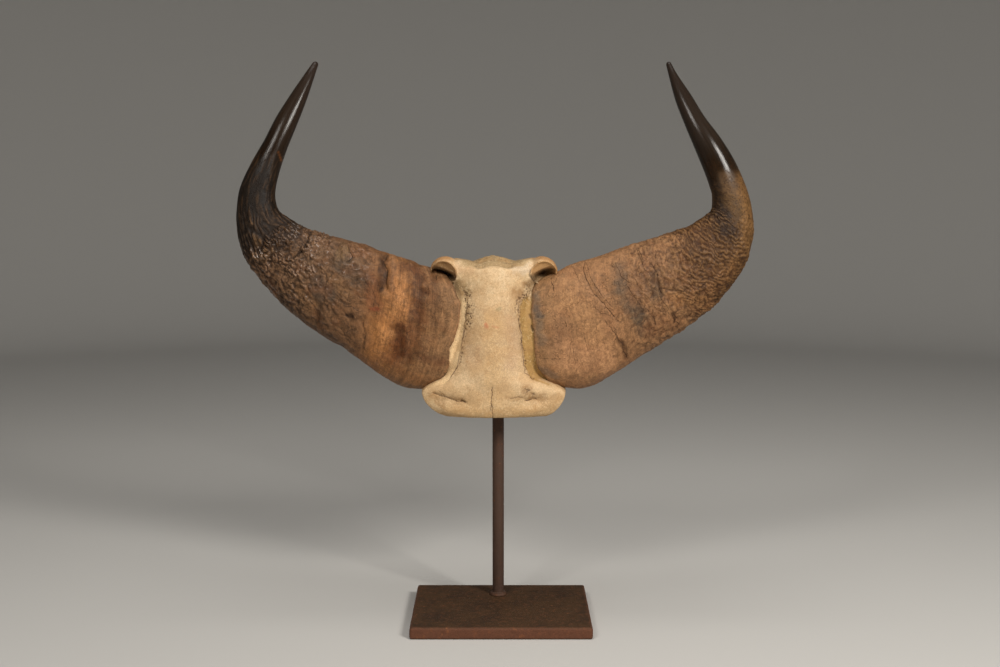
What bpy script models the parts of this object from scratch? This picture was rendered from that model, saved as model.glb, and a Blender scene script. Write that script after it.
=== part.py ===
"""A buffalo's skull plate with both horns, held up by a steel rod on a steel base plate.

Metres, +Z up, +X to the viewer's right and +Y towards the back. The origin is the centre of the base plate's
underside. The bone, each horn sheath, the rod and the base plate are solids of their own, kept GAP apart.
Left and right are the viewer's. The lists of stations and levels below are in millimetres.
"""

import math
from typing import NamedTuple

import bmesh
import bpy
from mathutils import Matrix, Vector

MM = 0.001
GAP = 0.0003
SHARP_ANGLE = 40

# Base plate
BASE_WIDTH = 0.240
BASE_DEPTH = 0.194
BASE_THICKNESS = 0.016
BASE_CORNER = 0.0045
BASE_EDGE = 0.0012
CORNER_STEPS = 5

# Rod, with the weld bead that rings its foot
ROD_RADIUS = 0.008
ROD_X = -0.004
ROD_Y = 0.051
ROD_TOP = 0.458
ROD_CHAMFER = 0.001
ROD_SIDES = 32
WELD_SPREAD = 0.0045
WELD_HEIGHT = 0.004
WELD_CURVE = 1.3
WELD_STEPS = 4

# Skull plate: its body, the crown's front rim and crest, and the sawn back
MIDLINE_X = -0.010
SAW_FOOT_Y = 0.040
SAW_SLOPE = 0.30
PLATE_BOTTOM = 0.278
SHOULDER = 0.476
BODY_LEVELS = 26
FRONT_POINTS = 25
SIDE_POINTS = 6
BACK_POINTS = 5
DOME_POWER = 2.4
SAW_OVERCUT = 0.014
SAW_BLOCK = 0.4
NAPE_START_Y = 0.048
NAPE_START_Z = 0.425
NAPE_FALL = 0.32
RIM_Z = 0.484
RIM_DIP_REACH = 0.018
RIM_DIP_SPREAD = 0.0075
RIM_DIP_DEPTH = 0.0034
RIM_STEP_REACH = 0.020
RIM_STEP_SPREAD = 0.012
RIM_STEP_RISE = 0.005
RIM_PEAK_REACH = 0.063
RIM_PEAK_SPREAD = 0.012
RIM_PEAK_RISE = 0.004
CREST_Y = 0.036
CREST_HALF_WIDTH = 0.022
CREST_SPREAD = 0.022
CREST_RISE = 0.0108
ROOF_EDGE = 0.22
ROOF_INSETS = (0.035, 0.10, 0.20, 0.36, 0.58, 0.82)
ROOF_CENTRE_Y = 0.034

# Crown loops over the horn roots, the hollows scooped under them, and the braincase
LUMP_SEGMENTS = 24
LUMP_RINGS = 14
LOOP_REACH = 0.066
LOOP_Y = 0.022
LOOP_Z = 0.474
LOOP_RADII = (0.0205, 0.031, 0.0195)
LOOP_LEAN = 28
SCOOP_REACH = 0.068
SCOOP_Y = -0.002
SCOOP_Z = 0.4715
SCOOP_RADII = (0.0175, 0.034, 0.0168)
SCOOP_LEAN = 20
BRAINCASE_RADII = (0.034, 0.040, 0.046)
BRAINCASE_Z = 0.400
BORE_FOOT = 0.25

# Horns, and the bone collars that they sit on
HORN_POINTS = 24
RINGS_PER_SPAN = 4
HORN_SQUARENESS = 2.5
TIP_SQUARENESS = 2.0
SQUARENESS_END = 0.625
TIP_STRETCH = 1.3
SWELL_SHARE = 0.022
SWELL_PEAK = 0.42
SWELL_SPREAD = 0.17
LONG_WAVE = 95
LONG_WAVE_TWIST = 1.3
SHORT_WAVE = 151
SHORT_WAVE_SHARE = 0.6
COLLAR_SHARE = 0.93
COLLAR_INNER_TALL = 0.86
COLLAR_INNER_DEEP = 0.9
COLLAR_REACH = 0.046
COLLAR_OVERRUN = 0.004
SEAT_CLEARANCE = 0.0006
SEAT_SPANS = 2


class Station(NamedTuple):
    """One cross-section of a horn, seen from the front, in millimetres and degrees."""

    inner: tuple[float, float]
    outer: tuple[float, float]
    centre_y: float
    depth: float
    turn: float


class Level(NamedTuple):
    """One height of the skull plate, in millimetres: widths are from the midline, places along Y."""

    z: float
    left: float
    right: float
    flare: float
    bulge: float
    edge: float


class Hump(NamedTuple):
    """A smooth rise or hollow on both sides of the skull's front, in millimetres, leaning by a slope."""

    reach: float
    z: float
    spread_x: float
    spread_z: float
    depth: float
    slope: float


LEFT_HORN = (
    Station((-95, 475), (-107, 312), 36, 116, 45),
    Station((-113, 484), (-134, 313), 38, 96, 30),
    Station((-143, 493), (-175, 335), 42, 82, 15),
    Station((-209, 513), (-250, 386), 50, 72, 4),
    Station((-266, 529), (-318, 447), 56, 60, 0),
    Station((-302, 550), (-357, 507), 60, 49, 0),
    Station((-310, 579), (-359, 582), 64, 41, 0),
    Station((-294, 637), (-325, 650), 71, 31, 0),
    Station((-269, 703), (-291, 712), 88, 21, 0),
    Station((-259, 736), (-272, 741.5), 99, 13, 0),
    Station((-254.5, 752.5), (-262.5, 756), 106, 7.5, 0),
)
RIGHT_HORN = (
    Station((88, 474), (91, 314), 36, 112, -45),
    Station((101, 483), (120, 313), 38, 96, -30),
    Station((135, 493), (164, 337), 42, 82, -15),
    Station((204, 515), (244, 388), 50, 72, -4),
    Station((259, 534), (304, 438), 56, 62, 0),
    Station((288, 554), (341, 497), 60, 52, 0),
    Station((288, 581), (341, 571), 64, 44, 0),
    Station((266, 638), (302, 652), 71, 33, 0),
    Station((241, 703), (263, 711), 88, 22, 0),
    Station((233, 736), (244, 741), 99, 12, 0),
    Station((229.5, 753), (236.5, 756), 106, 7, 0),
)
SKULL_LEVELS = (
    Level(278, 64, 72, 2, -11, 4),
    Level(284, 78, 82, 2, -15, 1),
    Level(296, 91, 92, 2, -17, 1),
    Level(310, 97, 97, 3, -18, 3),
    Level(320, 88, 84, 8, -20, 3),
    Level(332, 64, 53, 34, -22, -1),
    Level(352, 53, 41, 48, -23, -4),
    Level(392, 43, 37, 54, -22, -5),
    Level(436, 43, 41, 46, -18, -3),
    Level(460, 49, 50, 28, -14, 0),
    Level(476, 58, 60, 12, -9, 4),
)
BROW_GROOVE = Hump(52, 300.5, 24, 6.5, 4.5, 0.14)
CROWN_HOLLOW = Hump(34, 452, 13, 17, 4.5, 0)
CROWN_BOSS = Hump(0, 470, 17, 18, -3, 0)
WAIST_HOLLOW = Hump(28, 360, 12, 35, 1.5, 0)
FRONT_HUMPS = (BROW_GROOVE, CROWN_HOLLOW, CROWN_BOSS, WAIST_HOLLOW)


def clear_scene():
    """Remove what the startup scene holds."""
    for item in list(bpy.data.objects):
        bpy.data.objects.remove(item, do_unlink=True)


def material(name, colour, roughness, metallic=0.0):
    """A plain surface of one colour."""
    made = bpy.data.materials.new(name)
    made.use_nodes = True
    shader = made.node_tree.nodes["Principled BSDF"]
    shader.inputs["Base Color"].default_value = (*colour, 1.0)
    shader.inputs["Roughness"].default_value = roughness
    shader.inputs["Metallic"].default_value = metallic
    made.diffuse_color = (*colour, 1.0)
    return made


def object_of(name, mesh_builder, surface, smooth=True):
    """Turn a closed bmesh into a linked object with outward faces, flat or smooth but for its sharp edges."""
    bmesh.ops.recalc_face_normals(mesh_builder, faces=mesh_builder.faces)
    mesh = bpy.data.meshes.new(name)
    mesh_builder.to_mesh(mesh)
    mesh_builder.free()
    if smooth:
        mesh.shade_smooth()
        mesh.set_sharp_from_angle(angle=math.radians(SHARP_ANGLE))
    mesh.materials.append(surface)
    made = bpy.data.objects.new(name, mesh)
    bpy.context.scene.collection.objects.link(made)
    return made


def combine(target, tool, operation):
    """Join or cut the target with a helper shape, which is hidden from the render."""
    tool.hide_render = True
    tool.display_type = "WIRE"
    step = target.modifiers.new(f"{operation.lower()}_{tool.name}", "BOOLEAN")
    step.operation = operation
    step.solver = "EXACT"
    step.object = tool


def spline(values, place):
    """A smooth curve through the values, read at a place counted in spans (Catmull-Rom)."""
    last = len(values) - 1
    span = min(int(place), last - 1)
    t = place - span
    before = values[max(span - 1, 0)]
    start = values[span]
    end = values[span + 1]
    after = values[min(span + 2, last)]
    return 0.5 * (
        2 * start
        + (end - before) * t
        + (2 * before - 5 * start + 4 * end - after) * t**2
        + (3 * start - before - 3 * end + after) * t**3
    )


def bump(distance, width):
    """A smooth hump, 1 at no distance and near 0 beyond the width."""
    return math.exp(-((distance / width) ** 2))


def bridge(builder, lower, upper):
    """Faces between two rings of as many points each."""
    count = len(lower)
    for i in range(count):
        j = (i + 1) % count
        builder.faces.new((lower[i], lower[j], upper[j], upper[i]))


def loft(rings, apex=None):
    """A closed bmesh of triangles through rings: a flat cap on the first, a cap or an apex on the last."""
    builder = bmesh.new()
    made = [[builder.verts.new(point) for point in ring] for ring in rings]
    for lower, upper in zip(made, made[1:]):
        bridge(builder, lower, upper)
    builder.faces.new(made[0])
    if apex is None:
        builder.faces.new(made[-1])
    else:
        top = builder.verts.new(apex)
        for i, point in enumerate(made[-1]):
            builder.faces.new((point, made[-1][(i + 1) % len(made[-1])], top))
    bmesh.ops.triangulate(builder, faces=builder.faces)
    return builder


class HornSection(NamedTuple):
    """A horn's cross-section in space: its centre, its half height and its half depth as vectors."""

    centre: Vector
    tall: Vector
    deep: Vector


def horn_section(stations, place):
    """The cross-section at a place along the horn, counted in stations from the base."""

    def read(value_of):
        return spline([value_of(station) for station in stations], place)

    inner_x = read(lambda s: s.inner[0]) * MM
    inner_z = read(lambda s: s.inner[1]) * MM
    outer_x = read(lambda s: s.outer[0]) * MM
    outer_z = read(lambda s: s.outer[1]) * MM
    turn = math.radians(read(lambda s: s.turn))
    half_depth = read(lambda s: s.depth) * MM / 2
    centre = Vector(((inner_x + outer_x) / 2, read(lambda s: s.centre_y) * MM, (inner_z + outer_z) / 2))
    tall = Vector((inner_x - outer_x, 0, inner_z - outer_z)) / 2
    deep = Vector((-math.sin(turn), math.cos(turn), 0)) * half_depth
    return HornSection(centre, tall, deep)


def growth_swell(share, angle):
    """Growth lumps of the sheath as a share of its radius: none at the root, strongest before the bend."""
    long_wave = math.sin(share * LONG_WAVE + LONG_WAVE_TWIST * math.sin(angle))
    short_wave = SHORT_WAVE_SHARE * math.sin(share * SHORT_WAVE + 2 * angle)
    return 1 + SWELL_SHARE * bump(share - SWELL_PEAK, SWELL_SPREAD) * (long_wave + short_wave)


def horn_ring(section, squareness, grow=0.0, swell=None):
    """Points round one cross-section, between an oval and a rounded box by its squareness."""
    tall = section.tall.normalized() * (section.tall.length + grow)
    deep = section.deep.normalized() * (section.deep.length + grow)
    ring = []
    for i in range(HORN_POINTS):
        angle = 2 * math.pi * i / HORN_POINTS
        up = math.copysign(abs(math.cos(angle)) ** (2 / squareness), math.cos(angle))
        back = math.copysign(abs(math.sin(angle)) ** (2 / squareness), math.sin(angle))
        share = swell(angle) if swell else 1.0
        ring.append(section.centre + (tall * up + deep * back) * share)
    return ring


def horn_mesh(stations):
    """A horn sheath from its flat root to its tip."""
    spans = len(stations) - 1
    steps = spans * RINGS_PER_SPAN
    rings = []
    for step in range(steps + 1):
        share = step / steps
        section = horn_section(stations, step / RINGS_PER_SPAN)
        squareness = HORN_SQUARENESS + (TIP_SQUARENESS - HORN_SQUARENESS) * min(1, share / SQUARENESS_END)
        rings.append(horn_ring(section, squareness, swell=lambda angle, s=share: growth_swell(s, angle)))
    end = horn_section(stations, spans)
    before = horn_section(stations, spans - 1 / RINGS_PER_SPAN)
    onward = (end.centre - before.centre).normalized()
    return loft(rings, apex=end.centre + onward * end.tall.length * TIP_STRETCH)


def seat_cutter(stations):
    """The horn's root, a little larger and a gap further in, which clears the bone from the sheath."""
    root = horn_section(stations, 0)
    inward = (root.centre - horn_section(stations, 1).centre).normalized()
    face_normal = root.tall.cross(root.deep).normalized()
    step_in = inward * (GAP / abs(inward.dot(face_normal)))
    rings = [horn_ring(root._replace(centre=root.centre + step_in), HORN_SQUARENESS, SEAT_CLEARANCE)]
    for step in range(SEAT_SPANS * RINGS_PER_SPAN + 1):
        section = horn_section(stations, step / RINGS_PER_SPAN)
        rings.append(horn_ring(section, HORN_SQUARENESS, SEAT_CLEARANCE))
    return loft(rings)


def collar(stations, side):
    """The short oval root of the horn core, from inside the bone to beyond the flat root that trims it."""
    root = horn_section(stations, 0)
    outer_centre = root.centre + Vector((side * COLLAR_OVERRUN, 0, 0))
    outer = HornSection(outer_centre, root.tall * COLLAR_SHARE, root.deep * COLLAR_SHARE)
    inner_centre = root.centre - Vector((side * COLLAR_REACH, 0, 0))
    inner = HornSection(inner_centre, root.tall * COLLAR_INNER_TALL, root.deep * COLLAR_INNER_DEEP)
    return loft([horn_ring(inner, TIP_SQUARENESS), horn_ring(outer, HORN_SQUARENESS)])


def level_at(place):
    """The skull plate's level at a place counted in levels from the bottom, in metres."""
    columns = zip(*SKULL_LEVELS)
    return Level(*(spline(column, place) * MM for column in columns))


def saw_y(z):
    """Where the flat sawn back lies at a height."""
    return SAW_FOOT_Y + (z - PLATE_BOTTOM) * SAW_SLOPE


def nape_drop(y, z):
    """How far the crown sinks towards the back, which rounds the nape above the saw cut."""
    ramp = min(1.0, max(0.0, (z - NAPE_START_Z) / (SHOULDER - NAPE_START_Z)))
    return NAPE_FALL * max(0.0, y - NAPE_START_Y) * ramp


def front_relief(x, z):
    """How far the front lies behind its plain curve, for its grooves, hollows and low boss."""
    depth = 0.0
    for hump in FRONT_HUMPS:
        aside = abs(x) / MM - hump.reach
        above = z / MM - hump.z - hump.slope * aside
        depth += hump.depth * bump(aside, hump.spread_x) * bump(above, hump.spread_z)
    return depth * MM


def slice_outline(level):
    """Points round the skull plate at one height: the curved front, the flaring sides and the back."""
    front = []
    for i in range(FRONT_POINTS):
        t = -math.cos(math.pi * i / (FRONT_POINTS - 1))
        x = t * (level.right if t > 0 else level.left)
        dome = level.edge - (level.edge - level.bulge) * (1 - abs(t) ** DOME_POWER)
        front.append((x, dome + front_relief(x, level.z)))
    back_y = saw_y(level.z) + SAW_OVERCUT
    right_side = []
    left_side = []
    for i in range(1, SIDE_POINTS + 1):
        t = i / (SIDE_POINTS + 1)
        spread = level.flare * math.sin(t * math.pi / 2)
        y = level.edge + (back_y - level.edge) * t
        right_side.append((level.right + spread, y))
        left_side.append((-level.left - spread, y))
    right_back = level.right + level.flare
    left_back = -level.left - level.flare
    back = []
    for i in range(BACK_POINTS):
        t = i / (BACK_POINTS - 1)
        back.append((right_back + (left_back - right_back) * t, back_y))
    return front + right_side + back + left_side[::-1]


def roof_z(x, y):
    """Height of the crown: the front rim dips beside the boss, and the nape rises to a low crest."""
    reach = abs(x)
    dip = RIM_DIP_DEPTH * bump(reach - RIM_DIP_REACH, RIM_DIP_SPREAD)
    step = RIM_STEP_RISE * (1 - bump(max(0.0, reach - RIM_STEP_REACH), RIM_STEP_SPREAD))
    peak = RIM_PEAK_RISE * bump(reach - RIM_PEAK_REACH, RIM_PEAK_SPREAD)
    crest = CREST_RISE * math.exp(-((reach / CREST_HALF_WIDTH) ** 4)) * bump(y - CREST_Y, CREST_SPREAD)
    return RIM_Z - dip + step + peak + crest


def skull_body():
    """The bone without its crown loops, collars and hollows."""
    last = len(SKULL_LEVELS) - 1
    rings = []
    for step in range(BODY_LEVELS):
        level = level_at(last * step / (BODY_LEVELS - 1))
        outline = slice_outline(level)
        rings.append([Vector((MIDLINE_X + x, y, level.z - nape_drop(y, level.z))) for x, y in outline])
    shoulder = slice_outline(level_at(last))
    for inset in ROOF_INSETS:
        rise = math.sqrt(min(1.0, inset / ROOF_EDGE))
        ring = []
        for x, y in shoulder:
            px = x * (1 - inset)
            py = y + (ROOF_CENTRE_Y - y) * inset
            height = SHOULDER + (roof_z(px, py) - SHOULDER) * rise
            ring.append(Vector((MIDLINE_X + px, py, height - nape_drop(py, SHOULDER))))
        rings.append(ring)
    return loft(rings, apex=Vector((MIDLINE_X, ROOF_CENTRE_Y, roof_z(0, ROOF_CENTRE_Y))))


def saw_waste(surface):
    """The block behind the saw cut, which is taken off the bone to leave its flat back."""
    length = 2 * SAW_BLOCK
    builder = bmesh.new()
    bmesh.ops.create_cube(builder, size=length)
    bmesh.ops.translate(builder, verts=builder.verts, vec=Vector((0, SAW_BLOCK, 0)))
    lean = Matrix.Rotation(-math.atan(SAW_SLOPE), 4, "X")
    place = Matrix.Translation((MIDLINE_X, SAW_FOOT_Y, PLATE_BOTTOM))
    bmesh.ops.transform(builder, verts=builder.verts, matrix=place @ lean)
    return object_of("saw_waste", builder, surface, smooth=False)


def ellipsoid(name, centre, radii, surface, lean=0.0):
    """A smooth lump, leaning about the Y axis by an angle in degrees."""
    builder = bmesh.new()
    bmesh.ops.create_uvsphere(builder, u_segments=LUMP_SEGMENTS, v_segments=LUMP_RINGS, radius=1.0)
    bmesh.ops.scale(builder, verts=builder.verts, vec=Vector(radii))
    bmesh.ops.transform(builder, verts=builder.verts, matrix=Matrix.Rotation(math.radians(lean), 4, "Y"))
    bmesh.ops.translate(builder, verts=builder.verts, vec=Vector(centre))
    return object_of(name, builder, surface)


def rod_ring(radius, z):
    """Points round the rod's axis at one height."""
    angles = (2 * math.pi * i / ROD_SIDES for i in range(ROD_SIDES))
    return [Vector((ROD_X + radius * math.cos(a), ROD_Y + radius * math.sin(a), z)) for a in angles]


def build_skull(bone):
    """The skull plate: body, collars and crown loops joined, then hollowed, bored for the rod and cleared."""
    skull = object_of("skull_plate", skull_body(), bone)
    for side, stations in ((-1, LEFT_HORN), (1, RIGHT_HORN)):
        word = "left" if side < 0 else "right"
        combine(skull, object_of(f"{word}_collar", collar(stations, side), bone), "UNION")
        loop_centre = (MIDLINE_X + side * LOOP_REACH, LOOP_Y, LOOP_Z)
        loop = ellipsoid(f"{word}_loop", loop_centre, LOOP_RADII, bone, side * LOOP_LEAN)
        combine(skull, loop, "UNION")
        scoop_centre = (MIDLINE_X + side * SCOOP_REACH, SCOOP_Y, SCOOP_Z)
        scoop = ellipsoid(f"{word}_scoop", scoop_centre, SCOOP_RADII, bone, side * SCOOP_LEAN)
        combine(skull, scoop, "DIFFERENCE")
        combine(skull, object_of(f"{word}_seat", seat_cutter(stations), bone), "DIFFERENCE")
    braincase = ellipsoid("braincase", (MIDLINE_X, saw_y(BRAINCASE_Z), BRAINCASE_Z), BRAINCASE_RADII, bone)
    combine(skull, braincase, "DIFFERENCE")
    combine(skull, saw_waste(bone), "DIFFERENCE")
    bore_radius = ROD_RADIUS + GAP
    bore_ends = [rod_ring(bore_radius, BORE_FOOT), rod_ring(bore_radius, ROD_TOP + GAP)]
    bore = object_of("rod_bore", loft(bore_ends), bone)
    combine(skull, bore, "DIFFERENCE")


def build_rod(steel):
    """The upright: a bar with a weld bead round its foot and a small chamfer at its top."""
    foot = BASE_THICKNESS + GAP
    profile = [(ROD_RADIUS + WELD_SPREAD, foot)]
    for i in range(1, WELD_STEPS + 1):
        angle = math.pi / 2 * i / WELD_STEPS
        bead = ROD_RADIUS + WELD_SPREAD * math.cos(angle) ** WELD_CURVE
        profile.append((bead, foot + WELD_HEIGHT * math.sin(angle)))
    profile.append((ROD_RADIUS, ROD_TOP - ROD_CHAMFER))
    profile.append((ROD_RADIUS - ROD_CHAMFER, ROD_TOP))
    object_of("stand_rod", loft([rod_ring(radius, z) for radius, z in profile]), steel)


def build_base(steel):
    """The base plate, with slightly rounded corners and eased edges."""
    outline = []
    half_x = BASE_WIDTH / 2 - BASE_CORNER
    half_y = BASE_DEPTH / 2 - BASE_CORNER
    corners = ((1, 1, 0), (-1, 1, 90), (-1, -1, 180), (1, -1, 270))
    for sign_x, sign_y, start in corners:
        for i in range(CORNER_STEPS + 1):
            angle = math.radians(start + 90 * i / CORNER_STEPS)
            outline.append((sign_x * half_x, sign_y * half_y, math.cos(angle), math.sin(angle)))
    rings = []
    shoulder = BASE_THICKNESS - BASE_EDGE
    for inset, z in ((BASE_EDGE, 0), (0, BASE_EDGE), (0, shoulder), (BASE_EDGE, BASE_THICKNESS)):
        reach = BASE_CORNER - inset
        rings.append([Vector((x + reach * c, y + reach * s, z)) for x, y, c, s in outline])
    object_of("stand_base", loft(rings), steel)


def main():
    clear_scene()
    bone = material("bone", (0.68, 0.50, 0.30), 0.62)
    left_keratin = material("left_horn", (0.17, 0.095, 0.052), 0.48)
    right_keratin = material("right_horn", (0.26, 0.145, 0.075), 0.52)
    steel = material("rusty_steel", (0.11, 0.058, 0.036), 0.72, 0.35)
    build_base(steel)
    build_rod(steel)
    object_of("left_horn", horn_mesh(LEFT_HORN), left_keratin)
    object_of("right_horn", horn_mesh(RIGHT_HORN), right_keratin)
    build_skull(bone)


main()
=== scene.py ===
"""A buffalo's skull plate with both horns on a rusted steel stand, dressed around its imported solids.

Metres, +Z up, +X to the viewer's right, +Y away from the viewer. Left and right are the viewer's. Relief, strokes
and patches are written in millimetres, and colours as they show on a screen, 0 to 255.
"""

import logging
import math
from dataclasses import dataclass
from enum import Enum
from typing import Iterator, Mapping, Optional, Sequence, Union

import bpy
import numpy as np
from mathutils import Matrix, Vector
from mathutils.kdtree import KDTree


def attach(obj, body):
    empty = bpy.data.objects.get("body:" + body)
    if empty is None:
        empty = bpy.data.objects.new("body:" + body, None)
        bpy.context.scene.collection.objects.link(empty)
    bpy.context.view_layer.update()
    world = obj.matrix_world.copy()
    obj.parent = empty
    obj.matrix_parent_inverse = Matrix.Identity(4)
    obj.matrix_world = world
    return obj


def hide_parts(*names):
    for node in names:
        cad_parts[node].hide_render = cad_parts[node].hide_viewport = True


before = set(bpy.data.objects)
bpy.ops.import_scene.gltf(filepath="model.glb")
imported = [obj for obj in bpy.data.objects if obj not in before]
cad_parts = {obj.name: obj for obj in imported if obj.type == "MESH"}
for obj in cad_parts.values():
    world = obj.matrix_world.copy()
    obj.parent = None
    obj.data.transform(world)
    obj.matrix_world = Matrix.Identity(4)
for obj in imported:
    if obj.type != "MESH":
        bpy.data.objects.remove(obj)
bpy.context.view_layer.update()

MM = 0.001
MERGE = 2e-6
SOLID_MERGE = 1e-6
LINE_REACH = 20.0
LINE_FADE = (1.6, 4.0)
WASH_RAGGED = 0.6
SCREEN_SHARE = 0.77
SCREEN_POWER = 2.2
TURN = 2 * np.pi
FAR = 1e9
TINY = 1e-9
Array = np.ndarray
Piece = bpy.types.Object
Socket = bpy.types.NodeSocket
Colour = tuple[float, float, float]
Point3 = tuple[float, float, float]
Row = tuple[float, ...]
Stops = tuple[tuple[float, Colour], ...]
Spots = tuple[Array, Array]
Marks = dict[str, Array]
log = logging.getLogger("skull_stand")


class Side(Enum):
    """Which side of the midline a form is on, as the sign of x."""

    LEFT = -1
    RIGHT = 1


def seen(colour: Colour) -> Colour:
    """A surface's colour in linear light, from how it shows on a screen in the studio's light."""
    return tuple(SCREEN_SHARE * (part / 255) ** SCREEN_POWER for part in colour)


def smoothstep(low: float, high: float, value: Array) -> Array:
    """A soft step: 0 below low, 1 above high and a soft rise between."""
    share = np.clip((value - low) / (high - low), 0.0, 1.0)
    return share * share * (3 - 2 * share)


def hump(distance: Array, width: float) -> Array:
    """A smooth hump, 1 at no distance and near 0 beyond the width."""
    return np.exp(-((distance / width) ** 2))


def ring_shares(turn: Array, power: float) -> tuple[Array, Array]:
    """Places round an oval, which a power above 2 makes a rounded box, as shares of its half axes."""
    return tuple(np.sign(part) * np.abs(part) ** (2 / power) for part in (np.cos(turn), np.sin(turn)))


def spline(values: Array, places: Array) -> Array:
    """Read a smooth curve through rows of values (Catmull-Rom).

    Args:
        values: One row for each station.
        places: Places along the curve, counted in spans.

    Returns:
        One row for each place.
    """
    last = len(values) - 1
    span = np.clip(places.astype(int), 0, last - 1)
    t = (places - span)[..., None]
    before, start, end, after = (values[np.clip(span + step, 0, last)] for step in (-1, 0, 1, 2))
    bend = (2 * before - 5 * start + 4 * end - after) * t**2
    twist = (3 * start - before - 3 * end + after) * t**3
    return 0.5 * (2 * start + (end - before) * t + bend + twist)


class Grain:
    """Seeded smooth noise and cells in space, read point by point for relief.

    A part that is read more than once is shifted each time, so that its readings differ.
    """

    CELLS = 32
    GAIN = 1.6
    FINER = 2.03
    ROUGH_SHIFT = 7.1
    BILLOW_SHIFT = 5.3
    AXIS_SHIFT = 11.3

    def __init__(self, seed: int) -> None:
        """Draw the lattice from a seed."""
        draws = np.random.default_rng(seed)
        lattice = draws.normal(size=(self.CELLS, self.CELLS, self.CELLS, 3))
        self.slopes = lattice / np.linalg.norm(lattice, axis=-1, keepdims=True)
        self.seeds = draws.random((self.CELLS, self.CELLS, self.CELLS, 3))

    def _at(self, table: Array, cell: Array) -> Array:
        """Read a lattice table at whole-number cells, which repeat."""
        index = cell % self.CELLS
        return table[index[..., 0], index[..., 1], index[..., 2]]

    def _octaves(self, points: Array, octaves: int, shift: float) -> Iterator[tuple[float, Array]]:
        """Finer and finer noise, each with half the strength of the last."""
        for octave in range(octaves):
            yield 0.5**octave, self.smooth(points * self.FINER**octave + shift * octave)

    def smooth(self, points: Array) -> Array:
        """Smooth noise, about -1 to 1, one lump to a unit.

        Args:
            points: Where to read it.

        Returns:
            One number for each point.
        """
        cell = np.floor(points).astype(int)
        inside = points - cell
        ease = inside**3 * (inside * (inside * 6 - 15) + 10)
        total = np.zeros(points.shape[:-1])
        for corner in np.ndindex(2, 2, 2):
            slope = self._at(self.slopes, cell + corner)
            weight = np.prod(np.where(np.array(corner) == 1, ease, 1 - ease), axis=-1)
            total += weight * ((inside - corner) * slope).sum(-1)
        return total * self.GAIN

    def rough(self, points: Array, octaves: int = 3) -> Array:
        """Smooth noise with finer noise on it, about -1 to 1."""
        return sum(strength * noise for strength, noise in self._octaves(points, octaves, self.ROUGH_SHIFT))

    def billow(self, points: Array, octaves: int = 2) -> Array:
        """Noise of rounded knobs with sharp creases between them, 0 in a crease to about 1.3 on a knob."""
        total = sum(strength * np.abs(noise) for strength, noise in self._octaves(points, octaves, self.BILLOW_SHIFT))
        return total / (1 - 0.5**octaves)

    def warped(self, points: Array, size: float, reach: float) -> Array:
        """Points pushed about, up to a reach, by smooth noise with lumps of a size."""
        push = [self.smooth(points / size + self.AXIS_SHIFT * axis) for axis in range(3)]
        return points + reach * np.stack(push, axis=-1)

    def drift(self, spots: Spots, points: Array, reach: float, size: float, shifts: Row) -> Spots:
        """Places across and up, each pushed about by noise of its own that is read at the points."""
        return tuple(spot + reach * self.smooth(points / size + shift) for spot, shift in zip(spots, shifts))

    def cells(self, points: Array) -> tuple[Array, Array, Array]:
        """Cells round scattered seeds, one to a unit cube.

        Args:
            points: Where to read them.

        Returns:
            Distance to the nearest seed, how much further the next one is, and a number, 0 to 1, of the cell's own.
        """
        cell = np.floor(points).astype(int)
        nearest = second = np.full(points.shape[:-1], FAR)
        mark = np.zeros(points.shape[:-1])
        for step in np.ndindex(3, 3, 3):
            near = cell + step - 1
            seed = self._at(self.seeds, near)
            distance = np.linalg.norm(near + seed - points, axis=-1)
            closer = distance < nearest
            second = np.where(closer, nearest, np.minimum(second, distance))
            mark = np.where(closer, seed[..., 0], mark)
            nearest = np.where(closer, distance, nearest)
        return nearest, second - nearest, mark


@dataclass(frozen=True)
class Stroke:
    """A drawn line on the front of a piece: its points across and up, and its half width, in millimetres."""

    points: tuple[Row, ...]
    width: float
    strength: float

    def offset(self, spots: Spots) -> Array:
        """How far places are from the line.

        Args:
            spots: Places across and up, in millimetres.

        Returns:
            The distance in millimetres, positive on the line's one side and negative on its other.
        """
        best = np.full(np.shape(spots[0]), FAR)
        for (ax, az), (bx, bz) in zip(self.points, self.points[1:]):
            x, z = spots[0] - ax, spots[1] - az
            dx, dz = bx - ax, bz - az
            share = np.clip((x * dx + z * dz) / (dx**2 + dz**2), 0, 1)
            gap = np.hypot(x - share * dx, z - share * dz)
            best = np.where(gap < np.abs(best), np.where(x * dz < z * dx, -gap, gap), best)
        return best

    def near(self, spots: Spots) -> Array:
        """The stroke's strength on the line, fading to 0 beyond its width."""
        return self.strength * hump(self.offset(spots), self.width)


@dataclass(frozen=True)
class Wash:
    """A patch of colour laid along a line on the front of a piece, in millimetres, with a ragged edge."""

    colour: Colour
    line: Stroke
    strength: float
    edge: float

    def over(self, tone: Array, spots: Spots, noise: Array, keep: Array) -> Array:
        """The colours with this patch on them, its edge made ragged by noise, as far as each place keeps any."""
        near = self.line.near(spots) * (1 + WASH_RAGGED * noise)
        return blend(tone, self.strength * smoothstep(0.5 - self.edge, 0.5 + self.edge, near) * keep, self.colour)


Lines = tuple[Stroke, ...]
Washes = tuple[Wash, ...]


def strokes(*rows: Row) -> Lines:
    """Strokes from rows of a half width, a strength, and points across and up by turns."""
    return tuple(Stroke(tuple(zip(row[2::2], row[3::2])), *row[:2]) for row in rows)


def thin_lines(*rows: Row) -> Lines:
    """Cracks, whose material sets their width, from rows of a strength, and points across and up by turns."""
    return strokes(*((1.0, *row) for row in rows))


def patches(*rows: tuple) -> Washes:
    """Washes from rows of a colour, a half width, a strength, an edge, and points across and up by turns."""
    return tuple(Wash(row[0], strokes((row[1], 1.0, *row[4:]))[0], *row[2:4]) for row in rows)


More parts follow.
